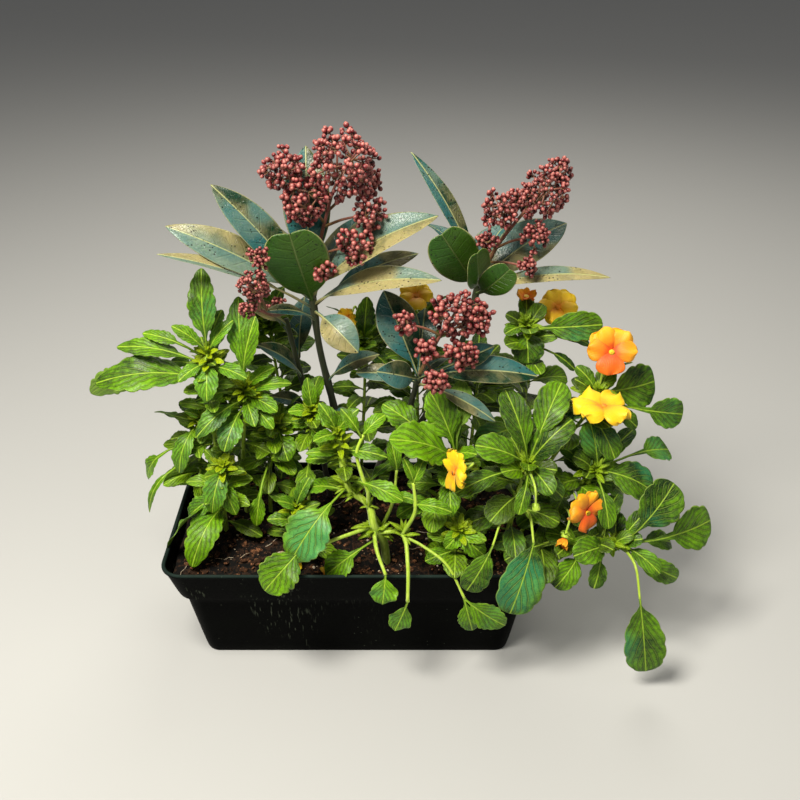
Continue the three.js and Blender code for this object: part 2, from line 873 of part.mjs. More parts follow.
/**
 * The shape of a leaf from its place on the stem to its tip. Its midrib is a curve of three points,
 * and its stalk is the first part. The section at a share of the blade is a triangle with the
 * midrib's keel beneath.
 */
function leafShape(from, row, kind) {
  const [, x, y, z, blade, width, roll = 0, face = kind.face, arch = kind.arch] = row;
  const tip = new THREE.Vector3(x, y, z);
  const chord = tip.clone().sub(from);
  const lift = bladeNormal(chord.clone().normalize(), face).multiplyScalar(2 * arch * chord.length());
  const middle = from.clone().lerp(tip, 0.5).add(lift);
  const midrib = new THREE.QuadraticBezierCurve3(from, middle, tip);
  const bladeStart = Math.max(0.08, 1 - blade / midrib.getLength());
  const turn = THREE.MathUtils.degToRad(roll);
  const section = (at, halfWidth, depth, grow) => {
    const centre = midrib.getPoint(at);
    const along = midrib.getTangent(at);
    const normal = bladeNormal(along, face).applyAxisAngle(along, turn);
    const side = normal.clone().cross(along);
    const place = (out, over) => {
      return centre.clone().addScaledVector(side, out).addScaledVector(normal, over);
    };
    const edge = halfWidth + grow;
    return {
      left: place(edge, grow),
      right: place(-edge, grow),
      lowRight: place(-edge, -grow),
      keel: place(0, -depth - grow),
      lowLeft: place(edge, -grow),
    };
  };
  const stalk = kind.stalk;
  const toothed = kind.tooth > 0 && blade >= 34 && face > 0;
  return {
    toothed,
    blade,
    bladeStart,
    stalkSection: (share, grow) => {
      const size = share === 0 ? [stalk.root / 2, stalk.root] : [stalk.width / 2, stalk.depth];
      return section(bladeStart * share, ...size, grow);
    },
    bladeSection: (share, swell, grow) => {
      const halfWidth = (width / 2) * bladeProfile(share, kind) * swell;
      return section(THREE.MathUtils.lerp(bladeStart, 1, share), halfWidth, kind.rib, grow);
    },
    apex: (grow) => tip.clone().addScaledVector(midrib.getTangent(1), 2 * grow),
    tooth: kind.tooth,
  };
}

function stalkShares(shape) {
  return shape.bladeStart > 0.6 ? [0, 0.5, 1] : [0, 1];
}

/** Where a blade's teeth stand, between the sections given. */
function toothShares(stations) {
  return stations.map((share, index) => (share + (index > 0 ? stations[index - 1] : 0)) / 2 + 0.03);
}

/** A leaf as one body, whose sharp edge runs in and out over its teeth. */
function leafSolid(from, row, kind) {
  const shape = leafShape(from, row, kind);
  const stations = bladeStations(shape.blade, shape.toothed);
  const notch = shape.toothed ? 1 - shape.tooth : 1;
  const sections = stalkShares(shape).map((share) => shape.stalkSection(share, 0));
  const plainSteps = sections.length - 1;
  sections.push(...stations.map((share) => shape.bladeSection(share, notch, 0)));
  const teeth = toothShares(stations).map((share) => shape.bladeSection(share, 1 + shape.tooth, 0));

  const points = [];
  const add = (point) => points.push(point) - 1;
  const cuts = sections.map(({ left, right, keel }) => {
    return { left: add(left), right: add(right), keel: add(keel) };
  });
  const apex = add(shape.apex(0));
  const start = cuts[0];
  const end = cuts.at(-1);
  const faces = [start.left, start.keel, start.right];
  cuts.slice(1).forEach((far, index) => {
    const near = cuts[index];
    if (index < plainSteps || !shape.toothed) {
      faces.push(near.left, near.right, far.right, near.left, far.right, far.left);
      faces.push(near.keel, near.left, far.left, near.keel, far.left, far.keel);
      faces.push(near.right, near.keel, far.keel, near.right, far.keel, far.right);
      return;
    }
    const tooth = teeth[index - plainSteps];
    const left = add(tooth.left);
    const right = add(tooth.right);
    faces.push(near.left, near.right, right, near.left, right, left);
    faces.push(left, right, far.right, left, far.right, far.left);
    faces.push(near.keel, near.left, left, near.keel, left, far.keel, far.keel, left, far.left);
    faces.push(right, near.right, near.keel, far.keel, right, near.keel, far.right, right, far.keel);
  });
  faces.push(end.left, end.right, apex, end.keel, end.left, apex, end.right, end.keel, apex);
  return solidOf(geometryOf(points, faces));
}

/** The room that a leaf takes up with a clearance all round, as wide as its teeth. */
function leafRoom(from, row, kind, grow) {
  const shape = leafShape(from, row, kind);
  const stations = bladeStations(shape.blade, shape.toothed);
  const shares = [...stations, ...(shape.toothed ? toothShares(stations) : [])].sort();
  const sections = stalkShares(shape).map((share) => shape.stalkSection(share, grow));
  sections.push(...shares.map((share) => shape.bladeSection(share, 1 + shape.tooth, grow)));
  const ring = ({ left, right, lowRight, keel, lowLeft }) => [left, right, lowRight, keel, lowLeft];
  return loft(sections.map(ring), shape.apex(grow));
}

/** Leaves on the side of a shoot that looks away from the viewer. */
function backLeaves(path, count, seed) {
  const { start, fan, rise, reach, blade, width, face } = hiddenLeaf;
  const curve = pathCurve(path);
  const rows = [];
  for (let index = 0; index < count; index++) {
    const at = start.first + (start.span * (index + 0.5)) / count;
    const turn = THREE.MathUtils.degToRad(90 + fan * (draw(index, seed + 0.3) - 0.5));
    const steepness = rise.least + rise.byHeight * at + rise.spread * draw(index, seed + 0.7);
    const tilt = THREE.MathUtils.degToRad(steepness);
    const length = reach.least + reach.spread * draw(index, seed + 0.5);
    const share = width.least + width.spread * draw(index, seed + 0.9);
    const flat = Math.cos(tilt);
    const away = new THREE.Vector3(flat * Math.cos(turn), flat * Math.sin(turn), Math.sin(tilt));
    const tip = away.multiplyScalar(length).add(curve.getPoint(at));
    rows.push([at, ...tip.toArray(), length * blade, length * share, 0, face]);
  }
  return rows;
}

/** The path of a bloom's stalk, from its stem to the bloom's back. */
function pedicel(bloom, stemPath) {
  const from = pathCurve(stemPath).getPoint(bloom.at);
  const centre = vector(bloom.centre);
  const face = vector(bloom.face).normalize();
  const seat = centre.clone().addScaledVector(face, -pedicelShape.seat);
  const bend = centre.clone().addScaledVector(face, -pedicelShape.bend);
  bend.addScaledVector(upright, pedicelShape.rise);
  const middle = from.clone().lerp(bend, pedicelShape.sagAt).addScaledVector(face, -pedicelShape.sag);
  return [from, middle, bend, seat].map((point) => point.toArray());
}

/** A four-sided cone of two radii and a depth, whose front looks along a direction. */
function coneFacing(face, front, back, depth, middle) {
  const cone = new THREE.CylinderGeometry(front, back, depth, 4);
  cone.applyQuaternion(new THREE.Quaternion().setFromUnitVectors(coneAxis, face));
  cone.translate(...middle.toArray());
  return solidOf(cone);
}

function calyxSolid(bloom, grow) {
  const face = vector(bloom.face).normalize();
  const middle = vector(bloom.centre).addScaledVector(face, -calyx.behind);
  return coneFacing(face, calyx.front + grow, calyx.back + grow, calyx.depth + 2 * grow, middle);
}

/** The petals of a bloom round its throat. */
function bloomPieces(bloom) {
  const face = vector(bloom.face).normalize();
  const upwards = bladeNormal(face, 0);
  const sideways = upwards.clone().cross(face);
  const pieces = petals.map((petal) => (grow) => petalSolid(bloom, petal, face, upwards, sideways, grow));
  pieces.push((grow) => {
    const radius = throatSize.radius + grow;
    return coneFacing(face, radius, radius, throatSize.depth + 2 * grow, vector(bloom.centre));
  });
  return pieces;
}

function petalSolid(bloom, petal, face, upwards, sideways, grow) {
  const angle = THREE.MathUtils.degToRad(petal.angle);
  const radial = sideways.clone().multiplyScalar(Math.cos(angle)).addScaledVector(upwards, Math.sin(angle));
  const across = face.clone().cross(radial);
  const reach = bloom.breadth * petal.reach;
  const halfWidth = (bloom.breadth * petal.width) / 2;
  const rings = petalSections.map(([share, wide, forward]) => {
    const centre = vector(bloom.centre).addScaledVector(radial, reach * share);
    centre.addScaledVector(face, petal.layer + forward);
    const edge = halfWidth * wide + grow;
    const front = petalDepth.front;
    const place = (out, over) => centre.clone().addScaledVector(across, out).addScaledVector(face, over);
    const keel = place(0, -petalDepth.keel - grow);
    if (grow === 0) return [place(edge, front), place(-edge, front), keel];
    const upper = [place(edge, front + grow), place(-edge, front + grow)];
    return [...upper, place(-edge, front - grow), keel, place(edge, front - grow)];
  });
  return loft(rings);
}

/** The solid whose faces a cluster's buds stand on: one bud to a face, and evenly all round. */
function clusterHeart(budCount, radius) {
  if (budCount === 20) return new THREE.IcosahedronGeometry(radius);
  if (budCount === 16) return new THREE.TetrahedronGeometry(radius, 1);
  return new THREE.OctahedronGeometry(radius);
}

/** The three corners at the widest of a bud that stands on a face, and the bud's end. */
function budOn(corners, middle, reach) {
  const foot = corners[0].clone().add(corners[1]).add(corners[2]).divideScalar(3);
  const away = foot.clone().sub(middle).normalize();
  const seat = middle.clone().addScaledVector(away, reach - bud.radius);
  const ring = corners.map((corner) => {
    const spoke = corner.clone().sub(foot);
    spoke.addScaledVector(away, -spoke.dot(away)).setLength(bud.radius);
    return seat.clone().add(spoke);
  });
  return [...ring, seat.clone().addScaledVector(away, bud.radius)];
}

/** The corners of each face of a cluster's heart, and of the bud that stands on it. */
function clusterFaces([x, y, z, radius, budCount], grow) {
  const heart = clusterHeart(budCount, radius * cluster.heart).translate(x, y, z);
  const place = heart.getAttribute("position");
  const middle = new THREE.Vector3(x, y, z);
  const faces = [];
  for (let first = 0; first < place.count; first += 3) {
    const corners = [0, 1, 2].map((step) => new THREE.Vector3().fromBufferAttribute(place, first + step));
    const reach = radius * (cluster.reach + cluster.spread * draw(first, x + z)) + grow;
    faces.push({ corners, raised: budOn(corners, middle, reach) });
  }
  return faces;
}

/** The faces of a cluster's heart that stay bare, because a bud there would touch a neighbour. */
function heartFaces(spot, touches) {
  return clusterFaces(spot, 0).map(({ raised }) => touches(raised));
}

/** A cluster of buds raised from the faces of its heart. */
function clusterSolid(spot, bare, grow) {
  const points = [];
  const faces = [];
  clusterFaces(spot, grow).forEach(({ corners, raised }, index) => {
    const start = points.length;
    points.push(...corners, ...raised);
    if (bare[index]) {
      faces.push(start, start + 1, start + 2);
      return;
    }
    for (let corner = 0; corner < 3; corner++) {
      const a = start + corner;
      const b = start + ((corner + 1) % 3);
      faces.push(a, b, b + 3, a, b + 3, a + 3, a + 3, b + 3, start + 6);
    }
  });
  return solidOf(geometryOf(points, faces));
}

/** The pieces of a panicle: its axis, a branch to each cluster, and the clusters. */
function paniclePieces(panicle, standing) {
  const curve = pathCurve(panicle.axis);
  const pieces = [(grow) => stemSolid(panicle.axis, branch.axis, mainStem.sides, grow)];
  const made = [...standing];
  const touches = (points) => {
    const box = new THREE.Box3().setFromPoints(points).expandByScalar(clearance);
    const size = box.getSize(new THREE.Vector3());
    const centre = box.getCenter(new THREE.Vector3());
    const probe = solidOf(new THREE.BoxGeometry(size.x, size.y, size.z).translate(...centre.toArray()));
    const near = made.filter((other) => overlaps(other, probe));
    return near.some((other) => !probe.intersect(other).isEmpty());
  };
  panicle.clusters.forEach((spot) => {
    const [x, y, z, radius] = spot;
    const share = (z - radius - panicle.axis[0][2]) / panicle.reach;
    const from = curve.getPoint(THREE.MathUtils.clamp(share, branch.lowest, 1));
    pieces.push((grow) => stemSolid([from.toArray(), [x, y, z]], branch.twig, sideStem.sides, grow));
    const bare = heartFaces(spot, touches);
    pieces.push((grow) => clusterSolid(spot, bare, grow));
    made.push(clusterSolid(spot, bare, clearance));
  });
  return pieces;
}

/** The stems of a shoot and the leaves on them, the rooted stem first. */
function shootPieces(shoot, kind, seed) {
  const pieces = [];
  shoot.stems.forEach(([path, thickness, rows], order) => {
    const curve = pathCurve(path);
    const sides = order === 0 ? mainStem.sides : sideStem.sides;
    pieces.push((grow) => stemSolid(path, thickness, sides, grow));
    const leaves = [...rows];
    if (kind === pansy && order === 0) {
      leaves.push(...backLeaves(path, shoot.back, seed));
    }
    leaves.forEach((row) => {
      const from = curve.getPoint(row[0]);
      pieces.push((grow) => (grow > 0 ? leafRoom(from, row, kind, grow) : leafSolid(from, row, kind)));
    });
  });
  return pieces;
}

function bloomStalkPieces(name) {
  const pieces = [];
  Object.values(blooms).filter((bloom) => bloom.on === name).forEach((bloom) => {
    const path = pedicel(bloom, shoots[name].stems[0][0]);
    pieces.push((grow) => stemSolid(path, pedicelShape.thickness, sideStem.sides, grow));
    pieces.push((grow) => calyxSolid(bloom, grow));
  });
  return pieces;
}

function overlaps(first, second) {
  const a = first.boundingBox();
  const b = second.boundingBox();
  return [0, 1, 2].every((axis) => a.min[axis] < b.max[axis] && b.min[axis] < a.max[axis]);
}

/** The largest body of a solid. */
function largestBody(solid) {
  return solid.decompose().reduce((best, body) => (body.volume() > best.volume() ? body : best));
}

/** Joins pieces in one body and cuts it clear of what stands there already. */
function joinClear(pieces, standing) {
  const joined = wasm.Manifold.union(pieces.map((piece) => piece(0)));
  const near = standing.filter((solid) => overlaps(solid, joined));
  if (near.length === 0) return largestBody(joined);
  return largestBody(joined.subtract(wasm.Manifold.union(near)));
}

const planted = new THREE.Group();

function addNode(name, solid, finish) {
  const mesh = solid.getMesh();
  const geometry = new THREE.BufferGeometry();
  geometry.setAttribute("position", new THREE.BufferAttribute(mesh.vertProperties, 3));
  geometry.setIndex(new THREE.BufferAttribute(mesh.triVerts, 1));
  geometry.computeVertexNormals();
  const material = new THREE.MeshStandardMaterial({ ...finishes[finish], metalness: 0 });
  const node = new THREE.Mesh(geometry, material);
  node.name = name;
  planted.add(node);
}

// What is placed later is cut clear of what is placed earlier
const planter = planterSolid();
const standing = [planterRoom(planter), soilSolid(clearance)];
const stemsInSoil = [];

function place(name, pieces, finish) {
  addNode(name, joinClear(pieces, standing), finish);
  standing.push(...pieces.map((piece) => piece(clearance)));
}

Object.entries(blooms).forEach(([name, bloom]) => {
  place(name, bloomPieces(bloom), name.includes("yellow") ? "yellow" : "orange");
});

/** A rooted stem passes through the soil, so the soil is cut and the stem is not. */
function placeRooted(name, pieces, finish) {
  const [planterGrown, soilGrown, ...others] = standing;
  const stem = pieces[0];
  const leaves = wasm.Manifold.union(pieces.slice(1).map((piece) => piece(0)));
  const above = leaves.subtract(planterGrown).subtract(soilGrown);
  addNode(name, joinClear([() => above, stem], others), finish);
  stemsInSoil.push(stem(clearance));
  standing.push(...pieces.map((piece) => piece(clearance)));
}

Object.entries(shrub).forEach(([name, shoot], index) => {
  placeRooted(name, shootPieces(shoot, skimmia, index), "skimmia");
});

Object.entries(panicles).forEach(([name, panicle]) => {
  place(name, paniclePieces(panicle, [...standing]), "panicle");
});

Object.entries(shoots).forEach(([name, shoot], index) => {
  placeRooted(name, [...shootPieces(shoot, pansy, index + 1), ...bloomStalkPieces(name)], "pansy");
});

addNode("planter", planter, "planter");
addNode("soil", largestBody(soilSolid(0).subtract(wasm.Manifold.union(stemsInSoil))), "soil");

export default planted;
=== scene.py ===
"""A plastic trough of yellow and orange pansies round a red-budded skimmia shrub.

The tables are in millimetres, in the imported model's own frame: +Z up, +X to the right and -Y
towards the viewer, with the origin at the middle of the trough's base. Each sub-assembly is a class
that works its surfaces out as arrays, and Piece turns them into metres.
"""

import logging
from collections.abc import Sequence
from dataclasses import dataclass, field, replace
from enum import Enum

import bpy
import numpy as np
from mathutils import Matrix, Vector


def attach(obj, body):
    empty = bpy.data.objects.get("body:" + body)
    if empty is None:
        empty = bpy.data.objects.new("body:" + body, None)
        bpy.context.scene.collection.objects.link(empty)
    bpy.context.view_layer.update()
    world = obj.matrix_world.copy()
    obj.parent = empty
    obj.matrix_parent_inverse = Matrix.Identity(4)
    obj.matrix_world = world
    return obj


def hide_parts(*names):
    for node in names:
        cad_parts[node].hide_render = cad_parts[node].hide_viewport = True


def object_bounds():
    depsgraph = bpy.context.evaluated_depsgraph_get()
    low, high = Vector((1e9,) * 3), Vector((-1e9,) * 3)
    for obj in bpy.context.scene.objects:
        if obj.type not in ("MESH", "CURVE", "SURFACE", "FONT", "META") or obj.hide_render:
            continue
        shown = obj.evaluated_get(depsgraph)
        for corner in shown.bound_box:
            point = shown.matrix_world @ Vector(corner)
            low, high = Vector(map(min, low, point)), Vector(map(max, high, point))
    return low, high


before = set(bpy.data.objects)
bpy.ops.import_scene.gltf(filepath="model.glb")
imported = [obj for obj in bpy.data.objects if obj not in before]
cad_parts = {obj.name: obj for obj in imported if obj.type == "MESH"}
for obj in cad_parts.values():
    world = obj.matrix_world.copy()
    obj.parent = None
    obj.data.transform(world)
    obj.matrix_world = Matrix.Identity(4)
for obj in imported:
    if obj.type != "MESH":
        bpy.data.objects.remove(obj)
CAD_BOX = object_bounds()

Array = np.ndarray
Point = tuple[float, float, float]
Colour = tuple[float, float, float]
Pair = tuple[float, float]
Level = tuple[float, float, float, float]
Path = list[Point]
Draws = np.random.Generator
Material = bpy.types.Material
log = logging.getLogger("planter")

METRES = 0.001
SOIL_SEED = 7
SHRUB_SEED = 100
PANICLE_SEED = 200
BLOOM_SEED = 300
GOLDEN_TURN = np.pi * (3 - np.sqrt(5))
TURN = 2 * np.pi
WIDE_HALF = 20.0
AWAY = -0.4
EDGE_MARGIN = 6.0
REACH_LIMITS = (
    np.array(CAD_BOX[0]) / METRES + EDGE_MARGIN,
    np.array(CAD_BOX[1]) / METRES - EDGE_MARGIN,
)


@dataclass(frozen=True)
class Leaf:
    """A leaf: the share of its stem where it starts, its tip, and its blade's length and width.

    Roll turns it round its midrib in degrees, face is how far it looks to the viewer, and arch is
    how high its midrib bows, as a share of its length. None takes the kind's own value.
    """

    at: float
    tip: Point
    blade: float
    width: float
    roll: float = 0.0
    face: float | None = None
    arch: float | None = None


@dataclass(frozen=True)
class Stem:
    """A stem's thickness, its path from the soil or another stem, and the leaves on it."""

    thickness: float
    path: list[Point]
    leaves: list[Leaf]


@dataclass(frozen=True)
class Shoot:
    """Stems that make one plant stem with its branches, and how many leaves its far side has."""

    back: int
    stems: list[Stem]


@dataclass(frozen=True)
class Cluster:
    """A head of flower buds by its middle and radius."""

    middle: Point
    radius: float


@dataclass(frozen=True)
class Panicle:
    """A head of buds: its axis, and the height over which its branches leave the axis.

    Bud is the buds' radius and shade how much darker they are. Each cluster stands on a branch.
    """

    axis: list[Point]
    reach: float
    bud: float
    shade: float
    clusters: list[Cluster]


@dataclass(frozen=True)
class Bloom:
    """A flower: the shoot that carries it, where on its stem, its middle, where it looks, its breadth
    and how frilled its petals are.
    """

    on: str
    at: float
    centre: Point
    face: Point
    breadth: float
    frill: float = 0.0


SHOOTS: dict[str, Shoot] = {
    "pansy_left_1": Shoot(2, [Stem(5, [
        (-138, 18, 88), (-137, 12, 150), (-136, 10, 201), (-132, 3, 258), (-131, 0, 302),
    ], [
        Leaf(1, (-132, 14, 378), 60, 26), Leaf(0.98, (-119, 22, 334), 24, 14),
        Leaf(0.98, (-160, -6, 331), 30, 15), Leaf(0.94, (-190, 6, 318), 34, 14),
        Leaf(0.9, (-214, 2, 306), 60, 20), Leaf(0.84, (-252, 22, 246), 66, 28, roll=120),
        Leaf(0.82, (-233, -16, 278), 84, 38), Leaf(0.88, (-171, 14, 284), 24, 13),
        Leaf(0.93, (-156, -24, 284), 26, 14), Leaf(0.99, (-107, 8, 330), 32, 15),
        Leaf(0.95, (-131, -28, 266), 34, 23), Leaf(0.9, (-94, -22, 286), 30, 16),
    ])]),
    "pansy_left_2": Shoot(2, [Stem(5, [
        (-114, 24, 88), (-113, 20, 150), (-110, 15, 192), (-104, 10, 235), (-101, 6, 261),
    ], [
        Leaf(1, (-104, 27, 345), 58, 24), Leaf(0.99, (-86, 4, 336), 50, 21),
        Leaf(0.98, (-72, 8, 282), 30, 15), Leaf(0.94, (-57, 2, 268), 40, 15),
        Leaf(0.9, (-70, -14, 247), 30, 19), Leaf(0.84, (-74, -20, 232), 30, 16),
        Leaf(0.88, (-90, -26, 238), 28, 15), Leaf(0.8, (-119, -34, 216), 36, 25),
        Leaf(0.86, (-144, -30, 229), 44, 22), Leaf(0.94, (-146, -10, 256), 28, 15),
    ])]),
    "pansy_left_3": Shoot(1, [Stem(4.4, [
        (-154, 28, 88), (-156, 22, 130), (-156, 20, 160), (-152, 16, 200), (-149, 15, 221),
    ], [
        Leaf(0.72, (-205, 6, 159), 36, 17, face=0.6, arch=0.34),
        Leaf(0.6, (-203, -12, 131), 58, 8, face=0.6, arch=0.4),
        Leaf(0.5, (-191, -2, 162), 40, 19, roll=100),
        Leaf(0.97, (-168, -14, 179), 48, 20, face=0.6, arch=0.3), Leaf(1, (-170, 28, 234), 24, 13),
        Leaf(1, (-160, 2, 238), 20, 12),
    ])]),
    "pansy_left_4": Shoot(0, [Stem(5, [
        (-130, -6, 86), (-130, -10, 125), (-128, -14, 160), (-124, -18, 190),
    ], [
        Leaf(0.55, (-180, -46, 113), 56, 26, roll=60, face=0.6, arch=0.3),
        Leaf(0.45, (-154, -68, 108), 66, 32, face=0.8, arch=0.28),
        Leaf(1, (-134, -44, 154), 46, 24, face=1.5, arch=0.3),
        Leaf(0.8, (-112, -42, 150), 34, 18, face=1, arch=0.3),
        Leaf(0.6, (-160, -30, 140), 30, 20, face=1, arch=0.3),
    ])]),
    "pansy_left_5": Shoot(3, [Stem(4, [(-90, 24, 88), (-87, 20, 154), (-79, 17, 195), (-74, 15, 216)], [
        Leaf(1, (-97, 6, 226), 22, 14), Leaf(0.98, (-44, 4, 221), 28, 13),
        Leaf(0.95, (-63, -15, 193), 27, 26, face=1.2), Leaf(0.97, (-54, 27, 230), 28, 14),
        Leaf(0.5, (-96, -30, 128), 30, 16, face=1, arch=0.3), Leaf(0.55, (-50, -4, 164), 34, 16),
    ])]),
    "pansy_left_6": Shoot(2, [Stem(3.5, [(-50, -28, 86), (-52, -30, 120), (-56, -32, 150)], [
        Leaf(1, (-72, -44, 168), 28, 16), Leaf(1, (-42, -28, 184), 28, 14),
        Leaf(0.7, (-84, -38, 142), 28, 16), Leaf(0.5, (-40, -62, 118), 30, 18, face=1, arch=0.25),
    ])]),
    "pansy_centre_1": Shoot(2, [Stem(3.5, [(-50, 4, 87), (-47, 6, 150), (-44, 8, 200), (-40, 8, 236)], [
        Leaf(1, (-12, -8, 226), 32, 20, face=1, arch=0.3), Leaf(0.96, (-62, -2, 240), 26, 14),
        Leaf(0.98, (-44, 14, 268), 30, 15), Leaf(0.8, (-22, -4, 196), 32, 17),
    ])]),
    "pansy_centre_2": Shoot(2, [Stem(6, [
        (31, -46, 86), (27, -60, 135), (19, -68, 157), (14, -60, 175), (-5, -50, 188), (-9, -45, 210),
        (-14, -36, 238),
    ], [
        Leaf(0.67, (-56, -92, 136), 60, 44, face=0.9, arch=0.24), Leaf(0.72, (46, -78, 192), 36, 20),
        Leaf(0.88, (-42, -52, 226), 28, 10), Leaf(0.9, (32, -56, 224), 36, 17),
        Leaf(0.84, (-44, -38, 210), 26, 13), Leaf(0.6, (-44, -24, 168), 32, 19),
        Leaf(0.2, (-26, -84, 112), 34, 27, face=1, arch=0.2), Leaf(1, (-30, -30, 266), 30, 15),
        Leaf(1, (6, -34, 262), 30, 16), Leaf(0.98, (-34, -60, 244), 26, 14),
    ]), Stem(3.2, [(21, -66, 148), (45, -74, 152), (50, -100, 138), (50, -114, 106)], [
        Leaf(1, (38, -117, 74), 30, 22, face=6, arch=0.05),
    ]), Stem(3, [(19, -68, 152), (22, -90, 146), (30, -105, 130)], [
        Leaf(1, (27, -114, 103), 26, 27, face=6, arch=0.08),
    ]), Stem(3, [(18, -68, 157), (-20, -84, 152), (-50, -92, 144)], [
        Leaf(1, (-80, -108, 114), 48, 38, face=1.4, arch=0.16),
    ]), Stem(2.4, [(44, -74, 151), (64, -84, 146), (86, -97, 134), (102, -110, 106)], [
        Leaf(1, (140, -112, 76), 40, 27, face=6, arch=0.08),
        Leaf(0.98, (110, -112, 70), 30, 22, face=6, arch=0.08),
    ]), Stem(3, [(14, -62, 172), (14, -64, 192), (9, -60, 206), (4, -52, 226), (10, -46, 242)], [
        Leaf(1, (30, -34, 256), 26, 15), Leaf(0.95, (-10, -40, 266), 26, 12),
    ]), Stem(3, [(45, -74, 152), (55, -74, 172), (57, -72, 184), (55, -66, 204)], [
        Leaf(0.66, (90, -80, 181), 36, 15), Leaf(1, (46, -62, 228), 24, 10),
        Leaf(0.98, (66, -58, 226), 26, 12),
    ]), Stem(2.6, [(24, -52, 140), (36, -50, 170), (40, -40, 200)], [
        Leaf(1, (34, -30, 228), 30, 14), Leaf(0.6, (60, -60, 178), 24, 12),
    ])]),
    "pansy_centre_3": Shoot(3, [Stem(5, [
        (72, -18, 87), (74, -28, 140), (79, -36, 166), (88, -34, 190), (95, -30, 206),
    ], [
        Leaf(0.95, (33, -60, 246), 64, 44), Leaf(0.86, (27, -20, 259), 36, 29),
        Leaf(1, (70, -16, 270), 46, 34), Leaf(0.99, (98, 2, 272), 44, 30, roll=150),
        Leaf(0.75, (89, -74, 172), 32, 21, face=1, arch=0.2), Leaf(1, (112, -54, 226), 28, 18),
        Leaf(0.5, (40, -52, 156), 34, 22),
    ])]),
    "pansy_centre_4": Shoot(1, [Stem(3.5, [(96, -56, 86), (94, -64, 120), (98, -68, 152)], [
        Leaf(1, (121, -80, 132), 36, 21, face=2, arch=0.3),
        Leaf(1, (84, -82, 142), 28, 18, face=2, arch=0.3),
        Leaf(0.6, (66, -78, 124), 26, 17, face=1, arch=0.2),
    ])]),
    "pansy_right_1": Shoot(3, [Stem(5.5, [
        (140, -36, 86), (145, -46, 130), (149, -50, 162), (156, -46, 195), (160, -44, 208),
    ], [
        Leaf(1, (199, -32, 250), 54, 30), Leaf(0.96, (191, -6, 274), 52, 32),
        Leaf(1, (138, -20, 274), 56, 28), Leaf(0.9, (92, -80, 202), 42, 21),
        Leaf(0.97, (110, -54, 236), 42, 30), Leaf(1, (178, -84, 204), 34, 22, face=1.2),
        Leaf(0.94, (148, -90, 186), 26, 14, face=1.6, arch=0.3), Leaf(0.86, (190, -70, 190), 30, 20),
    ]), Stem(3, [(151, -49, 172), (160, -76, 176), (163, -94, 158)], [
        Leaf(1, (143, -115, 93), 68, 42, face=4, arch=0.08),
    ]), Stem(2.6, [(152, -48, 178), (136, -80, 178), (126, -98, 158)], [
        Leaf(1, (103, -110, 116), 42, 26, face=3, arch=0.12),
    ])]),
    "pansy_right_2": Shoot(2, [Stem(5, [
        (158, -12, 86), (168, -15, 118), (192, -20, 146), (214, -26, 176), (227, -30, 194),
    ], [
        Leaf(1, (219, -14, 236), 36, 30), Leaf(0.88, (193, -20, 214), 24, 17),
        Leaf(1, (262, -12, 228), 44, 17), Leaf(0.98, (302, 4, 194), 36, 29),
        Leaf(0.99, (280, -38, 174), 48, 38), Leaf(0.95, (234, -74, 158), 36, 18, face=1.5, arch=0.3),
        Leaf(0.66, (168, -56, 196), 50, 34), Leaf(0.8, (258, -20, 158), 36, 22),
    ])]),
    "pansy_right_3": Shoot(3, [Stem(5, [
        (160, -62, 85), (165, -64, 120), (184, -64, 134), (215, -66, 132), (250, -66, 133),
    ], [
        Leaf(0.98, (294, -52, 194), 48, 42, face=2.5), Leaf(0.94, (337, -44, 146), 48, 42, face=2.5),
        Leaf(0.9, (199, -98, 146), 40, 27, face=1), Leaf(1, (266, -76, 148), 18, 16),
        Leaf(1, (301, -50, 124), 34, 21), Leaf(1, (281, -94, 122), 34, 19),
        Leaf(0.96, (305, -74, 100), 50, 22, face=2),
        Leaf(0.72, (184, -104, 114), 34, 25, face=2, arch=0.24),
        Leaf(0.86, (221, -98, 108), 26, 17, face=2, arch=0.24), Leaf(0.95, (246, -44, 156), 26, 20),
        Leaf(0.97, (270, -58, 166), 26, 16),
    ]), Stem(3, [(250, -66, 133), (258, -92, 130), (262, -108, 104)], [
        Leaf(1, (275, -118, 24), 72, 40, face=8, arch=0.04),
    ])]),
    "pansy_right_4": Shoot(2, [Stem(3.6, [
        (158, 26, 88), (163, 25, 150), (164, 24, 220), (161, 22, 290), (157, 22, 320),
    ], [
        Leaf(0.97, (138, 8, 316), 26, 14), Leaf(0.93, (160, 0, 290), 30, 31, face=2, arch=0.2),
        Leaf(0.62, (146, 8, 286), 40, 38), Leaf(0.96, (227, 12, 324), 50, 28, face=2.5),
        Leaf(0.9, (219, 22, 298), 46, 14), Leaf(0.8, (206, 14, 276), 28, 11),
    ])]),
    "pansy_right_5": Shoot(2, [Stem(4.5, [
        (158, 10, 87), (172, 8, 140), (198, 2, 200), (218, -4, 240), (226, -4, 262),
    ], [
        Leaf(1, (279, 4, 270), 42, 42, face=3), Leaf(0.9, (307, -6, 240), 38, 30, face=2.5),
        Leaf(0.86, (262, -20, 234), 28, 17), Leaf(0.97, (205, 6, 284), 26, 15),
        Leaf(0.85, (188, -14, 240), 34, 24), Leaf(0.76, (240, -40, 212), 36, 24),
        Leaf(0.55, (216, -36, 198), 32, 22),
    ])]),
    "pansy_back_1": Shoot(3, [Stem(3.6, [(0, 74, 89), (4, 72, 160), (8, 68, 240), (8, 66, 282)], [
        Leaf(1, (12, 60, 330), 38, 20, face=2), Leaf(0.9, (30, 50, 262), 32, 18),
        Leaf(0.95, (-16, 78, 304), 34, 18),
    ])]),
    "pansy_back_2": Shoot(3, [Stem(3.6, [(-72, 70, 89), (-74, 68, 180), (-80, 64, 260), (-82, 60, 304)], [
        Leaf(1, (-92, 56, 344), 36, 18), Leaf(1, (-66, 60, 340), 32, 16),
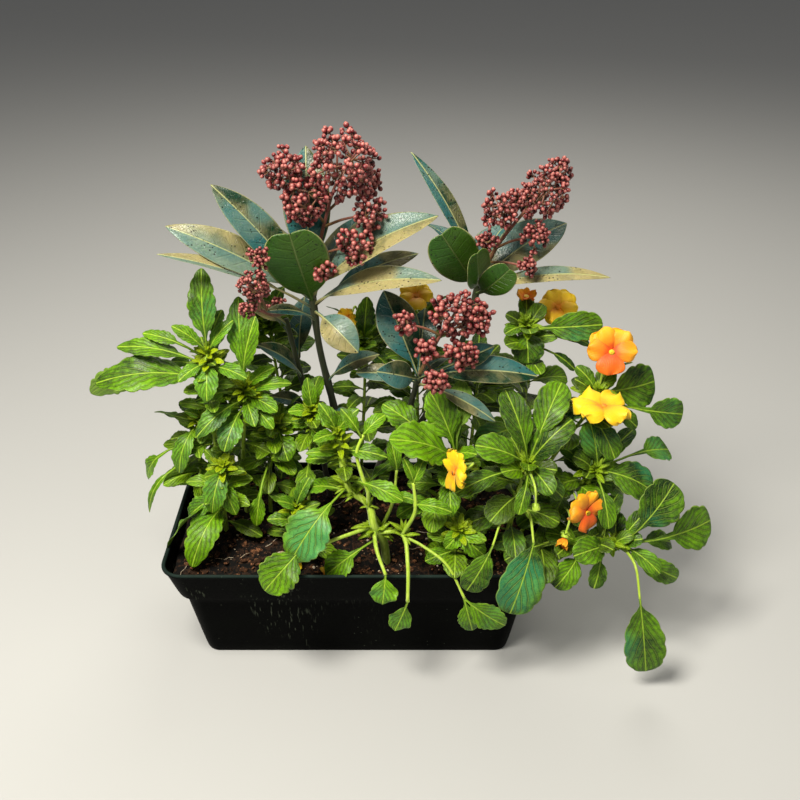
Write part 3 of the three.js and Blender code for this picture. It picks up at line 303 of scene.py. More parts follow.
        Leaf(0.9, (-112, 52, 300), 36, 20), Leaf(0.8, (-62, 52, 258), 34, 20),
    ])]),
    "pansy_back_3": Shoot(3, [Stem(3.6, [(64, 72, 89), (62, 70, 160), (60, 68, 240), (58, 66, 304)], [
        Leaf(0.9, (36, 62, 300), 32, 18), Leaf(0.7, (90, 62, 250), 34, 20),
    ])]),
    "pansy_back_4": Shoot(3, [Stem(3.8, [(112, 66, 89), (116, 68, 150), (120, 70, 210), (122, 72, 246)], [
        Leaf(1, (104, 66, 280), 34, 18), Leaf(0.9, (148, 58, 250), 34, 20),
    ])]),
    "pansy_back_5": Shoot(2, [Stem(4.2, [
        (-120, 60, 89), (-124, 62, 150), (-128, 64, 200), (-128, 66, 226),
    ], [
        Leaf(1, (-146, 50, 256), 32, 18), Leaf(0.84, (-100, 56, 236), 32, 18),
    ])]),
}
SHRUB: dict[str, Shoot] = {
    "skimmia_left": Shoot(0, [Stem(8, [
        (-12, 56, 88), (-16, 55, 150), (-22, 50, 211), (-33, 38, 285), (-37, 30, 344),
    ], [
        Leaf(0.97, (-51, -6, 420), 78, 56, face=6, arch=0.06), Leaf(1, (-119, 25, 450), 112, 32, face=1),
        Leaf(0.98, (-160, 16, 416), 122, 32, face=1),
        Leaf(0.94, (-163, -14, 402), 116, 19, roll=18, arch=0.08), Leaf(1, (76, 8, 428), 126, 38),
        Leaf(0.96, (79, -14, 378), 116, 27), Leaf(0.95, (60, 48, 378), 84, 24),
        Leaf(1, (-40, 66, 472), 108, 42, face=1), Leaf(0.93, (6, -14, 308), 52, 30, face=1.2, arch=0.2),
        Leaf(0.88, (-76, -8, 346), 50, 14), Leaf(0.62, (24, 22, 288), 58, 20),
        Leaf(0.5, (2, 22, 206), 38, 20, face=2, arch=0.3), Leaf(0.98, (-96, 84, 400), 96, 32, face=-0.4),
        Leaf(0.96, (16, 104, 398), 100, 34, face=-0.4),
    ])]),
    "skimmia_low": Shoot(0, [Stem(6, [
        (-28, 50, 88), (-35, 48, 150), (-46, 45, 215), (-54, 41, 262), (-63, 36, 318),
    ], [
        Leaf(0.97, (-98, 30, 340), 40, 16, face=1), Leaf(0.7, (-88, 10, 304), 58, 20),
        Leaf(0.5, (-82, 26, 240), 42, 17), Leaf(0.9, (-112, 78, 326), 70, 26, face=-0.4),
        Leaf(0.75, (-50, 92, 316), 60, 24, face=-0.4),
    ])]),
    "skimmia_right": Shoot(0, [Stem(7, [
        (28, 60, 88), (42, 54, 150), (80, 40, 235), (104, 33, 305), (114, 30, 356),
    ], [
        Leaf(1, (52, 44, 473), 116, 17), Leaf(0.98, (77, -4, 418), 68, 42, face=4, arch=0.06),
        Leaf(0.99, (108, -12, 404), 54, 30, roll=40, face=4), Leaf(0.95, (138, -10, 388), 48, 28, face=4),
        Leaf(1, (194, 56, 404), 96, 44), Leaf(0.96, (228, 6, 372), 112, 17),
        Leaf(0.97, (66, 100, 388), 88, 32, face=-0.4), Leaf(0.95, (148, 112, 384), 92, 34, face=-0.4),
    ])]),
    "skimmia_centre": Shoot(0, [Stem(7, [
        (12, 42, 88), (20, 36, 150), (46, 18, 210), (55, 8, 250), (60, 0, 276),
    ], [
        Leaf(1, (28, 38, 346), 74, 38, face=1.5), Leaf(1, (66, 30, 332), 52, 26),
        Leaf(0.97, (22, -26, 296), 44, 26, face=1.5), Leaf(0.98, (168, -14, 284), 92, 30),
        Leaf(0.99, (128, -4, 310), 42, 20, face=2), Leaf(0.92, (130, -30, 246), 62, 17),
        Leaf(0.93, (2, 4, 278), 48, 19), Leaf(0.9, (90, 52, 268), 56, 24, face=-0.4),
    ])]),
}
PANICLES: dict[str, Panicle] = {
    "panicle_left": Panicle([(-36, 29.6, 351), (-28, 28, 395), (-16, 27, 440)], 90, 2.4, 0.0, [
        Cluster((-5, 24, 468), 34), Cluster((-55, 24, 462), 21), Cluster((-40, 12, 438), 22),
        Cluster((16, 14, 428), 16), Cluster((6, 6, 402), 18), Cluster((-24, 6, 380), 11),
        Cluster((12, 54, 444), 18),
    ]),
    "panicle_low": Panicle([(-64, 35, 324.5), (-71, 6, 336), (-79, -18, 352)], 60, 1.7, 0.1, [
        Cluster((-80, -28, 379), 15), Cluster((-75, -20, 402), 10), Cluster((-87, -30, 360), 8),
        Cluster((-68, 16, 341), 8),
    ]),
    "panicle_right": Panicle([(115, 29.7, 360), (130, 27, 395), (152, 24, 428)], 80, 2.0, 0.2, [
        Cluster((167, 20, 444), 23), Cluster((129, 14, 432), 17), Cluster((118, 8, 406), 11),
        Cluster((159, 10, 410), 14), Cluster((155, 2, 384), 9), Cluster((180, 24, 462), 12),
        Cluster((150, 44, 428), 15),
    ]),
    "panicle_centre": Panicle([(61, -0.8, 279.6), (72, -7, 308), (84, -10, 334)], 60, 2.6, -0.1, [
        Cluster((91, -10, 345), 24), Cluster((47, -14, 338), 11), Cluster((75, -36, 292), 13),
        Cluster((112, -12, 340), 14), Cluster((98, -24, 312), 16), Cluster((66, -22, 316), 12),
    ]),
}
BLOOMS: dict[str, Bloom] = {
    "bloom_orange_top": Bloom("pansy_right_5", 0.98, (231, -16, 310), (-0.1, -0.85, 0.45), 43),
    "bloom_yellow_right": Bloom("pansy_right_5", 0.9, (225, -36, 264), (0.1, -0.1, 1), 52, frill=1.0),
    "bloom_yellow_centre": Bloom("pansy_centre_3", 0.9, (92, -82, 226), (-0.86, -0.3, 0.1), 38, frill=0.8),
    "bloom_orange_low": Bloom("pansy_right_2", 0.7, (212, -72, 176), (0.42, -0.8, 0.12), 38),
    "bloom_orange_bud": Bloom("pansy_right_2", 0.5, (192, -84, 154), (-0.3, -0.5, -0.8), 20),
    "bloom_yellow_back": Bloom("pansy_right_4", 0.95, (190, 42, 326), (-0.2, -0.7, 0.6), 36),
    "bloom_amber_back": Bloom("pansy_right_4", 1, (160, 46, 334), (0.1, -0.3, 0.9), 26),
    "bloom_yellow_half": Bloom("pansy_back_1", 0.95, (-6, 50, 312), (-0.4, -0.9, 0.1), 28),
    "bloom_yellow_behind": Bloom("pansy_back_3", 1, (58, 58, 330), (0.1, -0.6, 0.8), 34),
}
UNOPENED = [
    Bloom("pansy_right_1", 0.94, (163, -96, 194), (0.15, -0.25, -1), 14),
]


@dataclass(frozen=True)
class LeafKind:
    """How leaves of one kind are formed. Lengths are in millimetres, the rest are shares."""

    widest: float
    fullness: float
    arch: float
    face: float
    rib: float
    stalk_width: float
    stalk_depth: float
    lobes: float = 0.0
    lobe_depth: float = 0.0
    cup: float = 0.1
    wave: float = 0.0
    quilt: float = 0.0
    veins: float = 5.0
    slant: float = 2.0
    notch: float = 0.0
    thickness: float = 0.5


PANSY = LeafKind(
    widest=0.46, fullness=1.15, arch=0.16, face=0.6, rib=0.9, stalk_width=2.2, stalk_depth=1.8,
    lobes=6.0, lobe_depth=0.16, cup=0.14, wave=0.14, quilt=0.6, veins=5.0, slant=3.0,
)
BROAD = replace(PANSY, widest=0.56, fullness=1.0, lobes=4.0, lobe_depth=0.11, wave=0.07, quilt=0.35)
DIAMOND = replace(PANSY, widest=0.52, fullness=2.1, lobes=3.0, lobe_depth=0.1, wave=0.22)
YOUNG = replace(
    PANSY, lobes=3.0, lobe_depth=0.1, fullness=1.3, stalk_width=1.3, stalk_depth=1.1, rib=0.5,
    quilt=0.0, cup=0.3, wave=0.05, thickness=0.4,
)
STIPULE = replace(YOUNG, lobes=0.0, lobe_depth=0.0, widest=0.3, stalk_width=0.9, stalk_depth=0.7)
SEPAL = replace(STIPULE, widest=0.4, cup=0.35)
FALLEN_PETAL = replace(YOUNG, widest=0.62, stalk_width=2.0, lobes=0.0, lobe_depth=0.0)
SKIMMIA = LeafKind(
    widest=0.52, fullness=1.85, arch=0.12, face=0.6, rib=0.7, stalk_width=3.2, stalk_depth=2.2,
    cup=0.22, wave=0.04, quilt=0.05, veins=8.0, slant=1.2, thickness=0.8,
)
NOTCHED = replace(SKIMMIA, widest=0.64, fullness=0.95, notch=0.04, cup=0.06)


class Fineness(Enum):
    """Points round a section, sections on the stalk and sections on the blade."""

    FULL = (16, 3, 34)
    SMOOTH = (14, 3, 20)
    MIDDLE = (12, 2, 16)
    SMALL = (8, 1, 8)
    TINY = (6, 1, 4)


@dataclass(frozen=True)
class Look:
    """How bright and how young a surface is, from 0 to 1, and how far its forms differ in tone."""

    tone: float = 0.5
    young: float = 0.0
    spread: float = 0.18


@dataclass
class Surface:
    """Closed forms in millimetres: points, faces by corner, and what their finish reads.

    Place is across and along each form from 0 to 1. Trait is tone, underside, half width as a
    share of WIDE_HALF and youth. Finish is the number of the piece's material.
    """

    points: Array
    quads: Array
    triangles: Array
    place: Array
    trait: Array
    finish: int = 0


def unit(vectors: Array) -> Array:
    """Vectors brought to length 1 along their last axis."""
    return vectors / np.maximum(np.linalg.norm(vectors, axis=-1, keepdims=True), 1e-9)


def heading(turn: Array, rise: Array) -> Array:
    """Directions at a turn round +Z from +X and a rise above the ground."""
    return np.stack([np.cos(rise) * np.cos(turn), np.cos(rise) * np.sin(turn), np.sin(rise)], -1)


def ring_angles(ring: int) -> Array:
    """Even angles round a ring of so many points."""
    return np.arange(ring) / ring * TURN


def cross_axes(along: Array) -> tuple[Array, Array]:
    """Two directions square to each other and to each row's own."""
    helper = np.where(np.abs(along[:, 2:]) > 0.8, (1.0, 0, 0), (0, 0, 1.0))
    side = unit(np.cross(helper, along))
    return side, np.cross(along, side)


def draw(index: Array, key: float) -> Array:
    """Repeatable shares between 0 and 1: the fraction of a long sine of index and key."""
    swing = np.sin(index * 12.9898 + key * 78.233) * 43758.5453
    return swing - np.floor(swing)


def closed_rings(rings: Array, start: Array, end: Array, place: Array, trait: Array) -> Surface:
    """Closes forms made of rings of points with a fan to a point at each end.

    Point j of ring i is point i * ring + j of its form, and the two end points follow. Rings turn
    left about the way they run, which makes the faces look out.

    Args:
        rings: Points of shape (forms, rows, ring, 3).
        start: First end points, (forms, 3).
        end: Last end points, (forms, 3).
        place: Across and along, (forms, rows, ring, 2).
        trait: Finish values, (forms, rows, ring, 4).

    Returns:
        One surface with all the forms.
    """
    forms, rows, ring, _ = rings.shape
    size = rows * ring + 2
    first = (np.arange(forms) * size)[:, None, None]
    corner = np.arange(ring)
    following = (corner + 1) % ring
    row = np.arange(rows - 1)[:, None] * ring
    quads = np.stack([row + corner, row + following, row + ring + following, row + ring + corner], -1)
    quads = (quads.reshape(1, -1, 4) + first).reshape(-1, 4)
    last = (rows - 1) * ring
    foot = np.stack([np.full(ring, rows * ring), following, corner], -1)
    head = np.stack([np.full(ring, rows * ring + 1), last + corner, last + following], -1)
    triangles = (np.concatenate([foot, head])[None] + first).reshape(-1, 3)

    def with_ends(values: Array, ends: Array | None = None) -> Array:
        """Each form's values followed by its ends' own, or by the means of its end rings."""
        if ends is None:
            ends = np.stack([values[:, 0].mean(1), values[:, -1].mean(1)], 1)
        return np.concatenate([values.reshape(forms, rows * ring, -1), ends], 1).reshape(forms * size, -1)

    points = with_ends(rings, np.stack([start, end], 1))
    return Surface(points, quads, triangles, with_ends(place), with_ends(trait))


def even_trait(look: Look, shape: Sequence[int], rng: Draws | None = None) -> Array:
    """The same finish values all over each form.

    Args:
        look: Their brightness and youth.
        shape: Forms, rows and points round a row.
        rng: Draws each form's own tone within the look's spread, if given.

    Returns:
        Values of the shape and four.
    """
    tone = np.full(shape[0], look.tone)
    if rng is not None:
        tone = tone + look.spread * rng.uniform(-1, 1, shape[0])
    trait = np.zeros((*shape, 4))
    trait[..., 0] = np.clip(tone, 0, 1)[:, None, None]
    trait[..., 3] = look.young
    return trait


def plain_forms(rings: Array, start: Array, end: Array, look: Look,
                rng: Draws | None = None, tone: Array | None = None) -> Surface:
    """Closed forms with an even look.

    Across is the share round each ring and along is the share of the rows.

    Args:
        rings: Points of shape (forms, rows, ring, 3).
        start: First end points.
        end: Last end points.
        look: How bright and young they are.
        rng: Draws each form's own tone, if given.
        tone: Each form's tone, instead of the look's.

    Returns:
        One surface with all the forms.
    """
    forms, rows, ring = shape = rings.shape[:3]
    around, along = np.meshgrid(np.arange(ring) / ring, np.linspace(0, 1, rows))
    place = np.broadcast_to(np.stack([around, along], -1), (forms, rows, ring, 2))
    trait = even_trait(look, shape, rng)
    if tone is not None:
        trait[..., 0] = tone[:, None, None]
    return closed_rings(rings, start, end, place, trait)


def smooth_path(path: Path, shares: Array) -> Array:
    """Points at shares of a path on cubic curves through its points.

    The slope at a point is half the step between its neighbours, and the ends run on straight.

    Args:
        path: The points that it runs through.
        shares: Where the wanted points are, from 0 at its start to 1 at its end.

    Returns:
        The wanted points.
    """
    points = np.array(path, float)
    ends = np.concatenate([2 * points[:1] - points[1:2], points, 2 * points[-1:] - points[-2:-1]])
    place = np.clip(shares, 0, 1) * (len(points) - 1)
    first = np.minimum(place.astype(int), len(points) - 2)
    t = (place - first)[:, None]
    before, low, high, after = (ends[first + step] for step in range(4))
    rise, fall = (high - before) / 2, (after - low) / 2
    cubic = 2 * low - 2 * high + rise + fall
    square = -3 * low + 3 * high - 2 * rise - fall
    return ((cubic * t + square) * t + rise) * t + low


def tubes(starts: Array, ends: Array, radii: Pair, look: Look, ring: int = 4) -> Surface:
    """Straight round rods between pairs of points.

    Args:
        starts: Where they start.
        ends: Where they end.
        radii: Their radii at the start and at the end.
        look: Their brightness and youth.
        ring: How many points stand round them.

    Returns:
        One surface with all the rods.
    """
    side, over = cross_axes(unit(ends - starts))
    angle = ring_angles(ring)
    circle = side[:, None] * np.cos(angle)[:, None] + over[:, None] * np.sin(angle)[:, None]
    rings = np.stack([starts[:, None] + circle * radii[0], ends[:, None] + circle * radii[1]], 1)
    return plain_forms(rings, starts, ends, look)


def stem_tube(path: Path, thickness: float, look: Look, joints: Sequence[float] = (),
              ring: int = 8, taper: float = 0.34, angular: float = 0.07) -> Surface:
    """A stem along a smooth path, thinner at its end and swollen a little at each leaf joint.

    The radius at share t is half the thickness times 1 - taper * t, plus a bell round each joint,
    and four low ridges make it angular.

    Args:
        path: The points that it runs through.
        thickness: Its diameter at its foot.
        look: Its brightness and youth.
        joints: Shares where leaves leave it.
        ring: How many points stand round it.
        taper: How much of its radius is lost at its end.
        angular: How high its ridges are, as a share of the radius.

    Returns:
        The stem.
    """
    bell_width, bell_height, most_bells = 0.03, 0.22, 1.3
    shares = np.linspace(0, 1, 8 * (len(path) - 1) + 1)
    centre = smooth_path(path, shares)
    along = unit(np.gradient(centre, axis=0))
    helper = np.eye(3)[np.abs(along).max(0).argmin()]
    side = unit(np.cross(helper, along))
    over = np.cross(along, side)
    bells = sum((np.exp(-(((shares - joint) / bell_width) ** 2)) for joint in joints), np.zeros(len(shares)))
    radius = thickness / 2 * (1 - taper * shares) * (1 + bell_height * np.minimum(bells, most_bells))
    angle = ring_angles(ring)
    ridged = radius[:, None] * (1 + angular * np.cos(4 * angle))[None]
    rings = centre[:, None] + side[:, None] * (ridged * np.cos(angle))[..., None]
    rings = rings + over[:, None] * (ridged * np.sin(angle))[..., None]
    return plain_forms(rings[None], centre[:1], centre[-1:], look)


def blade_normals(along: Array, face: Array) -> Array:
    """The way a blade's upper side looks: up and to the viewer by face, square to its length.

    Args:
        along: The ways its sections run.
        face: How far it looks to the viewer.

    Returns:
        Directions of length 1.
    """
    looks = np.zeros(np.broadcast_shapes(along.shape, face.shape + (3,)))
    looks[..., 1] = -face
    looks[..., 2] = 1.0
    return unit(looks - along * (looks * along).sum(-1, keepdims=True))


def bow(start: Array, middle: Array, end: Array, t: Array) -> Array:
    """Points at t on curves that run from start to end and are pulled by the middle point."""
    t = t[..., None]
    return (1 - t) ** 2 * start[:, None] + 2 * (1 - t) * t * middle[:, None] + t ** 2 * end[:, None]


def blade_profile(share: Array, kind: LeafKind) -> Array:
    """Half the width at a share of the blade, 1 at its widest.

    The rise and the fall are powers of the distances to the two ends, balanced at the widest share.

    Args:
        share: Shares of the blade's length.
        kind: The leaf's form.

    Returns:
        Half widths from 0 to 1.
    """
    rise = (share / kind.widest) ** (kind.widest * kind.fullness)
    fall = ((1 - share) / (1 - kind.widest)) ** ((1 - kind.widest) * kind.fullness)
    return rise * fall


@dataclass(frozen=True)
class Midribs:
    """The bowed midribs of some leaves, with the directions of their sections."""

    tips: Array
    s: Array
    on_blade: Array
    centre: Array
    along: Array
    side: Array
    normal: Array

    @classmethod
    def of(cls, roots: Array, leaves: Sequence[Leaf], kind: LeafKind, fineness: Fineness) -> "Midribs":
        """Lays the midribs out.

        A midrib bows from its root to its tip, and its blade covers the last part of it. Sections
        stand evenly on the stalk, and closer towards both ends of the blade.

        Args:
            roots: Where the leaves start, (leaves, 3).
            leaves: Their rows of the tables.
            kind: Their form.
            fineness: How many sections they have.

        Returns:
            The midribs.
        """
        tips = np.array([leaf.tip for leaf in leaves], float)
        blade = np.array([leaf.blade for leaf in leaves], float)
        roll = np.radians([leaf.roll for leaf in leaves])[:, None, None]
        face = np.array([kind.face if leaf.face is None else leaf.face for leaf in leaves], float)
        arch = np.array([kind.arch if leaf.arch is None else leaf.arch for leaf in leaves], float)
        chord = tips - roots
        reach = np.linalg.norm(chord, axis=1)
        middle = (roots + tips) / 2 + blade_normals(unit(chord), face) * (2 * arch * reach)[:, None]
        trace = bow(roots, middle, tips, np.broadcast_to(np.linspace(0, 1, 33), (len(leaves), 33)))
        length = np.linalg.norm(np.diff(trace, axis=1), axis=2).sum(1)
        start = np.maximum(0.08, 1 - blade / length)[:, None]

        _, stalk_rows, blade_rows = fineness.value
        even = np.linspace(0, 1, blade_rows + 2)[1:-1]
        share = 0.6 * even + 0.4 * (1 - np.cos(np.pi * even)) / 2
        stalk = np.linspace(0, 1, stalk_rows, endpoint=False)
        t = np.concatenate([start * stalk, start + (1 - start) * share], 1)
        s = np.concatenate([np.zeros(stalk_rows), share])[None, :, None]
        on_blade = np.concatenate([np.zeros(stalk_rows), np.ones(blade_rows)])[None, :, None]
        pull = (1 - t)[..., None] * (middle - roots)[:, None] + t[..., None] * (tips - middle)[:, None]
        along = unit(pull)
        normal = blade_normals(along, np.broadcast_to(face[:, None], t.shape))
        normal = normal * np.cos(roll) + np.cross(along, normal) * np.sin(roll)
        return cls(tips, s, on_blade, bow(roots, middle, tips, t), along, np.cross(normal, along), normal)


def leaf_surface(roots: Array, leaves: Sequence[Leaf], kind: LeafKind, fineness: Fineness, look: Look,
                 rng: Draws) -> Surface:
    """Leaves of one kind, each a flat ellipse of points carried along its bowed midrib.

    A section's points go round an ellipse: its width is the stalk's or the blade's at that share,
    with rounded lobes as a power of a sine along the edge, and its depth is the leaf's thickness.
    It is lifted towards the edges by the cup, swung along them by the wave, puffed between the side
    veins by the quilt and keeled beneath the midrib by the rib.

    Args:
        roots: Where the leaves start, (leaves, 3).
        leaves: Their rows of the tables.
        kind: Their form.
        fineness: How many points they are made of.
        look: Their brightness and youth.
        rng: Draws each leaf's own tone and waves.

    Returns:
        One surface with all the leaves.
    """
    midribs = Midribs.of(roots, leaves, kind, fineness)
    s, on_blade = midribs.s, midribs.on_blade
    blade = np.array([leaf.blade for leaf in leaves], float)
    width = np.array([leaf.width for leaf in leaves], float)[:, None, None]
    angle = ring_angles(fineness.value[0])
    u, w = np.cos(angle), np.sin(angle)
    out = np.abs(u)
    phase = rng.uniform(0, 1, (4, len(leaves), 1, 1))

    lobing = np.abs(np.sin(np.pi * (kind.lobes * s + 0.25 * np.sign(u) + phase[0]))) ** 0.6
    outline = blade_profile(np.maximum(s, 1e-4), kind) * (1 - kind.lobe_depth * (1 - lobing))
    half = np.maximum(width / 2 * outline, kind.stalk_width / 2 * np.maximum(1 - s, 0) ** 0.3)
    half = np.where(on_blade > 0, half, kind.stalk_width / 2)
    swell = on_blade * np.sin(np.pi * s) ** 0.5
    depth = np.where(on_blade > 0, kind.thickness / 2, kind.stalk_depth / 2)
    rib = on_blade * np.exp(-((u * half / 0.9) ** 2))
    lift = depth * w - rib * (kind.rib * (1 - s) ** 0.5 * (w < 0) + 0.3 * (w >= 0) * swell)
    lift = lift + swell * half * kind.cup * (0.5 + phase[1]) * out ** 1.5
    ripple = np.sin(TURN * ((1.2 + phase[2]) * s + phase[3]) + 1.4 * u)
    lift = lift + swell * half * kind.wave * ripple * out ** 2
    puff = np.abs(np.sin(np.pi * (kind.veins * s - kind.slant * out))) ** 0.5
    lift = lift + swell * kind.quilt * (puff - 0.5) * np.sin(np.pi * out) ** 0.5

    rings = midribs.centre[:, :, None] + midribs.side[:, :, None] * (half * u)[..., None]
    rings = rings + midribs.normal[:, :, None] * lift[..., None]
    drawn_in = kind.notch * blade[:, None, None] * np.exp(-((u / 0.3) ** 2)) * s ** 8
    rings = rings - midribs.along[:, :, None] * drawn_in[..., None]
    end = midribs.tips - midribs.along[:, -1] * (kind.notch * blade)[:, None]

    place = np.stack(np.broadcast_arrays(0.5 + 0.5 * u, s * on_blade, half)[:2], -1)
    trait = even_trait(look, half.shape, rng)
    trait[..., 1] = np.where(w < -0.01, 1.0, np.where(w < 0.01, 0.5, 0.0))
    trait[..., 2] = np.clip(half / WIDE_HALF, 0, 1)
    return closed_rings(rings, roots, end, place, trait)


def leaves_on(path: Path, leaves: Sequence[Leaf], kind: LeafKind, fineness: Fineness, look: Look,
              rng: Draws) -> Surface:
    """Leaves that start from a stem at their own shares of its path."""
    roots = smooth_path(path, np.array([leaf.at for leaf in leaves], float))
    return leaf_surface(roots, leaves, kind, fineness, look, rng)


def leaf_rows(at: Array, tips: Array, blade: Array, width: Array, face: float | None = None) -> list[Leaf]:
    """Rows like those of the tables, from arrays."""
    return [Leaf(*row, face=face) for row in zip(at, map(tuple, tips), blade, width)]


def hidden_leaves(path: Path, count: int, seed: int) -> list[Leaf]:
    """Leaves on the far side of a shoot, in a fan of 150 degrees, rising more steeply higher up.

    Args:
        path: The path of the shoot's main stem.
        count: How many leaves there are.
        seed: The number that their draws follow.

    Returns:
        The leaves, lowest first.
    """
    index = np.arange(count)
    at = 0.42 + 0.56 * (index + 0.5) / max(count, 1)
    turn = np.radians(90 + 150 * (draw(index, seed + 0.3) - 0.5))
    rise = np.radians(-12 + 55 * at + 14 * draw(index, seed + 0.7))
    reach = 42 + 18 * draw(index, seed + 0.5)
    tips = smooth_path(path, at) + heading(turn, rise) * reach[:, None]
    return leaf_rows(at, tips, 0.7 * reach, reach * (0.3 + 0.12 * draw(index, seed + 0.9)), AWAY)


@dataclass(frozen=True)
class Whorl:
    """Small leaves that stand round a stem in golden turns, smaller and steeper towards its top."""

    count: int
    low: float
    high: float
    reach: Pair
    rise: Pair
    slimness: float = 0.42
    forward: float = 0.0

    def leaves(self, path: Path, rng: Draws) -> list[Leaf]:
        """Lays the leaves out.

        Args:
            path: The stem's path.
            rng: Draws the small differences between them.

        Returns:
            The leaves, lowest first.
        """
        share = (np.arange(self.count) + 0.5) / self.count
        at = self.low + (self.high - self.low) * share ** 0.7
        turn = np.arange(self.count) * GOLDEN_TURN + rng.uniform(-0.3, 0.3, self.count)
        rise = self.rise[0] + (self.rise[1] - self.rise[0]) * share
        rise = np.radians(rise + rng.uniform(-9, 9, self.count))
        reach = self.reach[0] + (self.reach[1] - self.reach[0]) * share
        reach = reach * rng.uniform(0.8, 1.15, self.count)
        away = unit(heading(turn, rise) - (0, self.forward, 0))
        tips = np.clip(smooth_path(path, at) + away * reach[:, None], *REACH_LIMITS)
        return leaf_rows(at, tips, 0.76 * reach, reach * self.slimness * rng.uniform(0.8, 1.15, self.count))


def stipules(path: Path, joints: Sequence[float], lobes: int, rng: Draws) -> list[Leaf]:
    """Slender lobes round each leaf joint of a pansy's stem.

    Args:
        path: The stem's path.
        joints: Shares where its leaves leave it.
        lobes: How many stand round a joint.
        rng: Draws their turns and lengths.

    Returns:
        The lobes, as leaves.
    """
    at = np.repeat(np.array(joints, float), lobes)
    turn = rng.uniform(0, TURN, len(at))
    rise = np.radians(rng.uniform(-35, 60, len(at)))
    reach = rng.uniform(9, 19, len(at))
    tips = smooth_path(path, at) + heading(turn, rise) * (1, 0.6, 1) * reach[:, None]
    return leaf_rows(at, tips, reach * 0.85, reach * 0.24)


@dataclass(frozen=True)
class Signal:
    """A node's output that is added up and compared like a number."""

    board: "NodeBoard"
    socket: bpy.types.NodeSocket

    def __add__(self, other: "Signal | float") -> "Signal":
        """The sum."""
        return self.board.math("ADD", self, other)

    def __sub__(self, other: "Signal | float") -> "Signal":
        """The difference."""
        return self.board.math("SUBTRACT", self, other)

    def __mul__(self, other: "Signal | float") -> "Signal":
        """The product."""
        return self.board.math("MULTIPLY", self, other)

    def __abs__(self) -> "Signal":
        """The size without its sign."""
        return self.board.math("ABSOLUTE", self)

    def most(self, other: "Signal | float") -> "Signal":
        """The greater of the two."""
        return self.board.math("MAXIMUM", self, other)

    def fold(self) -> "Signal":
        """How far it is from the nearest whole number."""
        return self.board.math("PINGPONG", self, 0.5)

    def step(self, low: float, high: float) -> "Signal":
        """A soft step from 0 at low to 1 at high."""
        inputs = {"Value": self, "From Min": low, "From Max": high}
        return self.board.put("MapRange", inputs, interpolation_type="SMOOTHSTEP")

    def between(self, low: float, high: float) -> "Signal":
        """A share from 0 to 1 brought to the range from low to high."""
        return self.board.put("MapRange", {"Value": self, "To Min": low, "To Max": high})


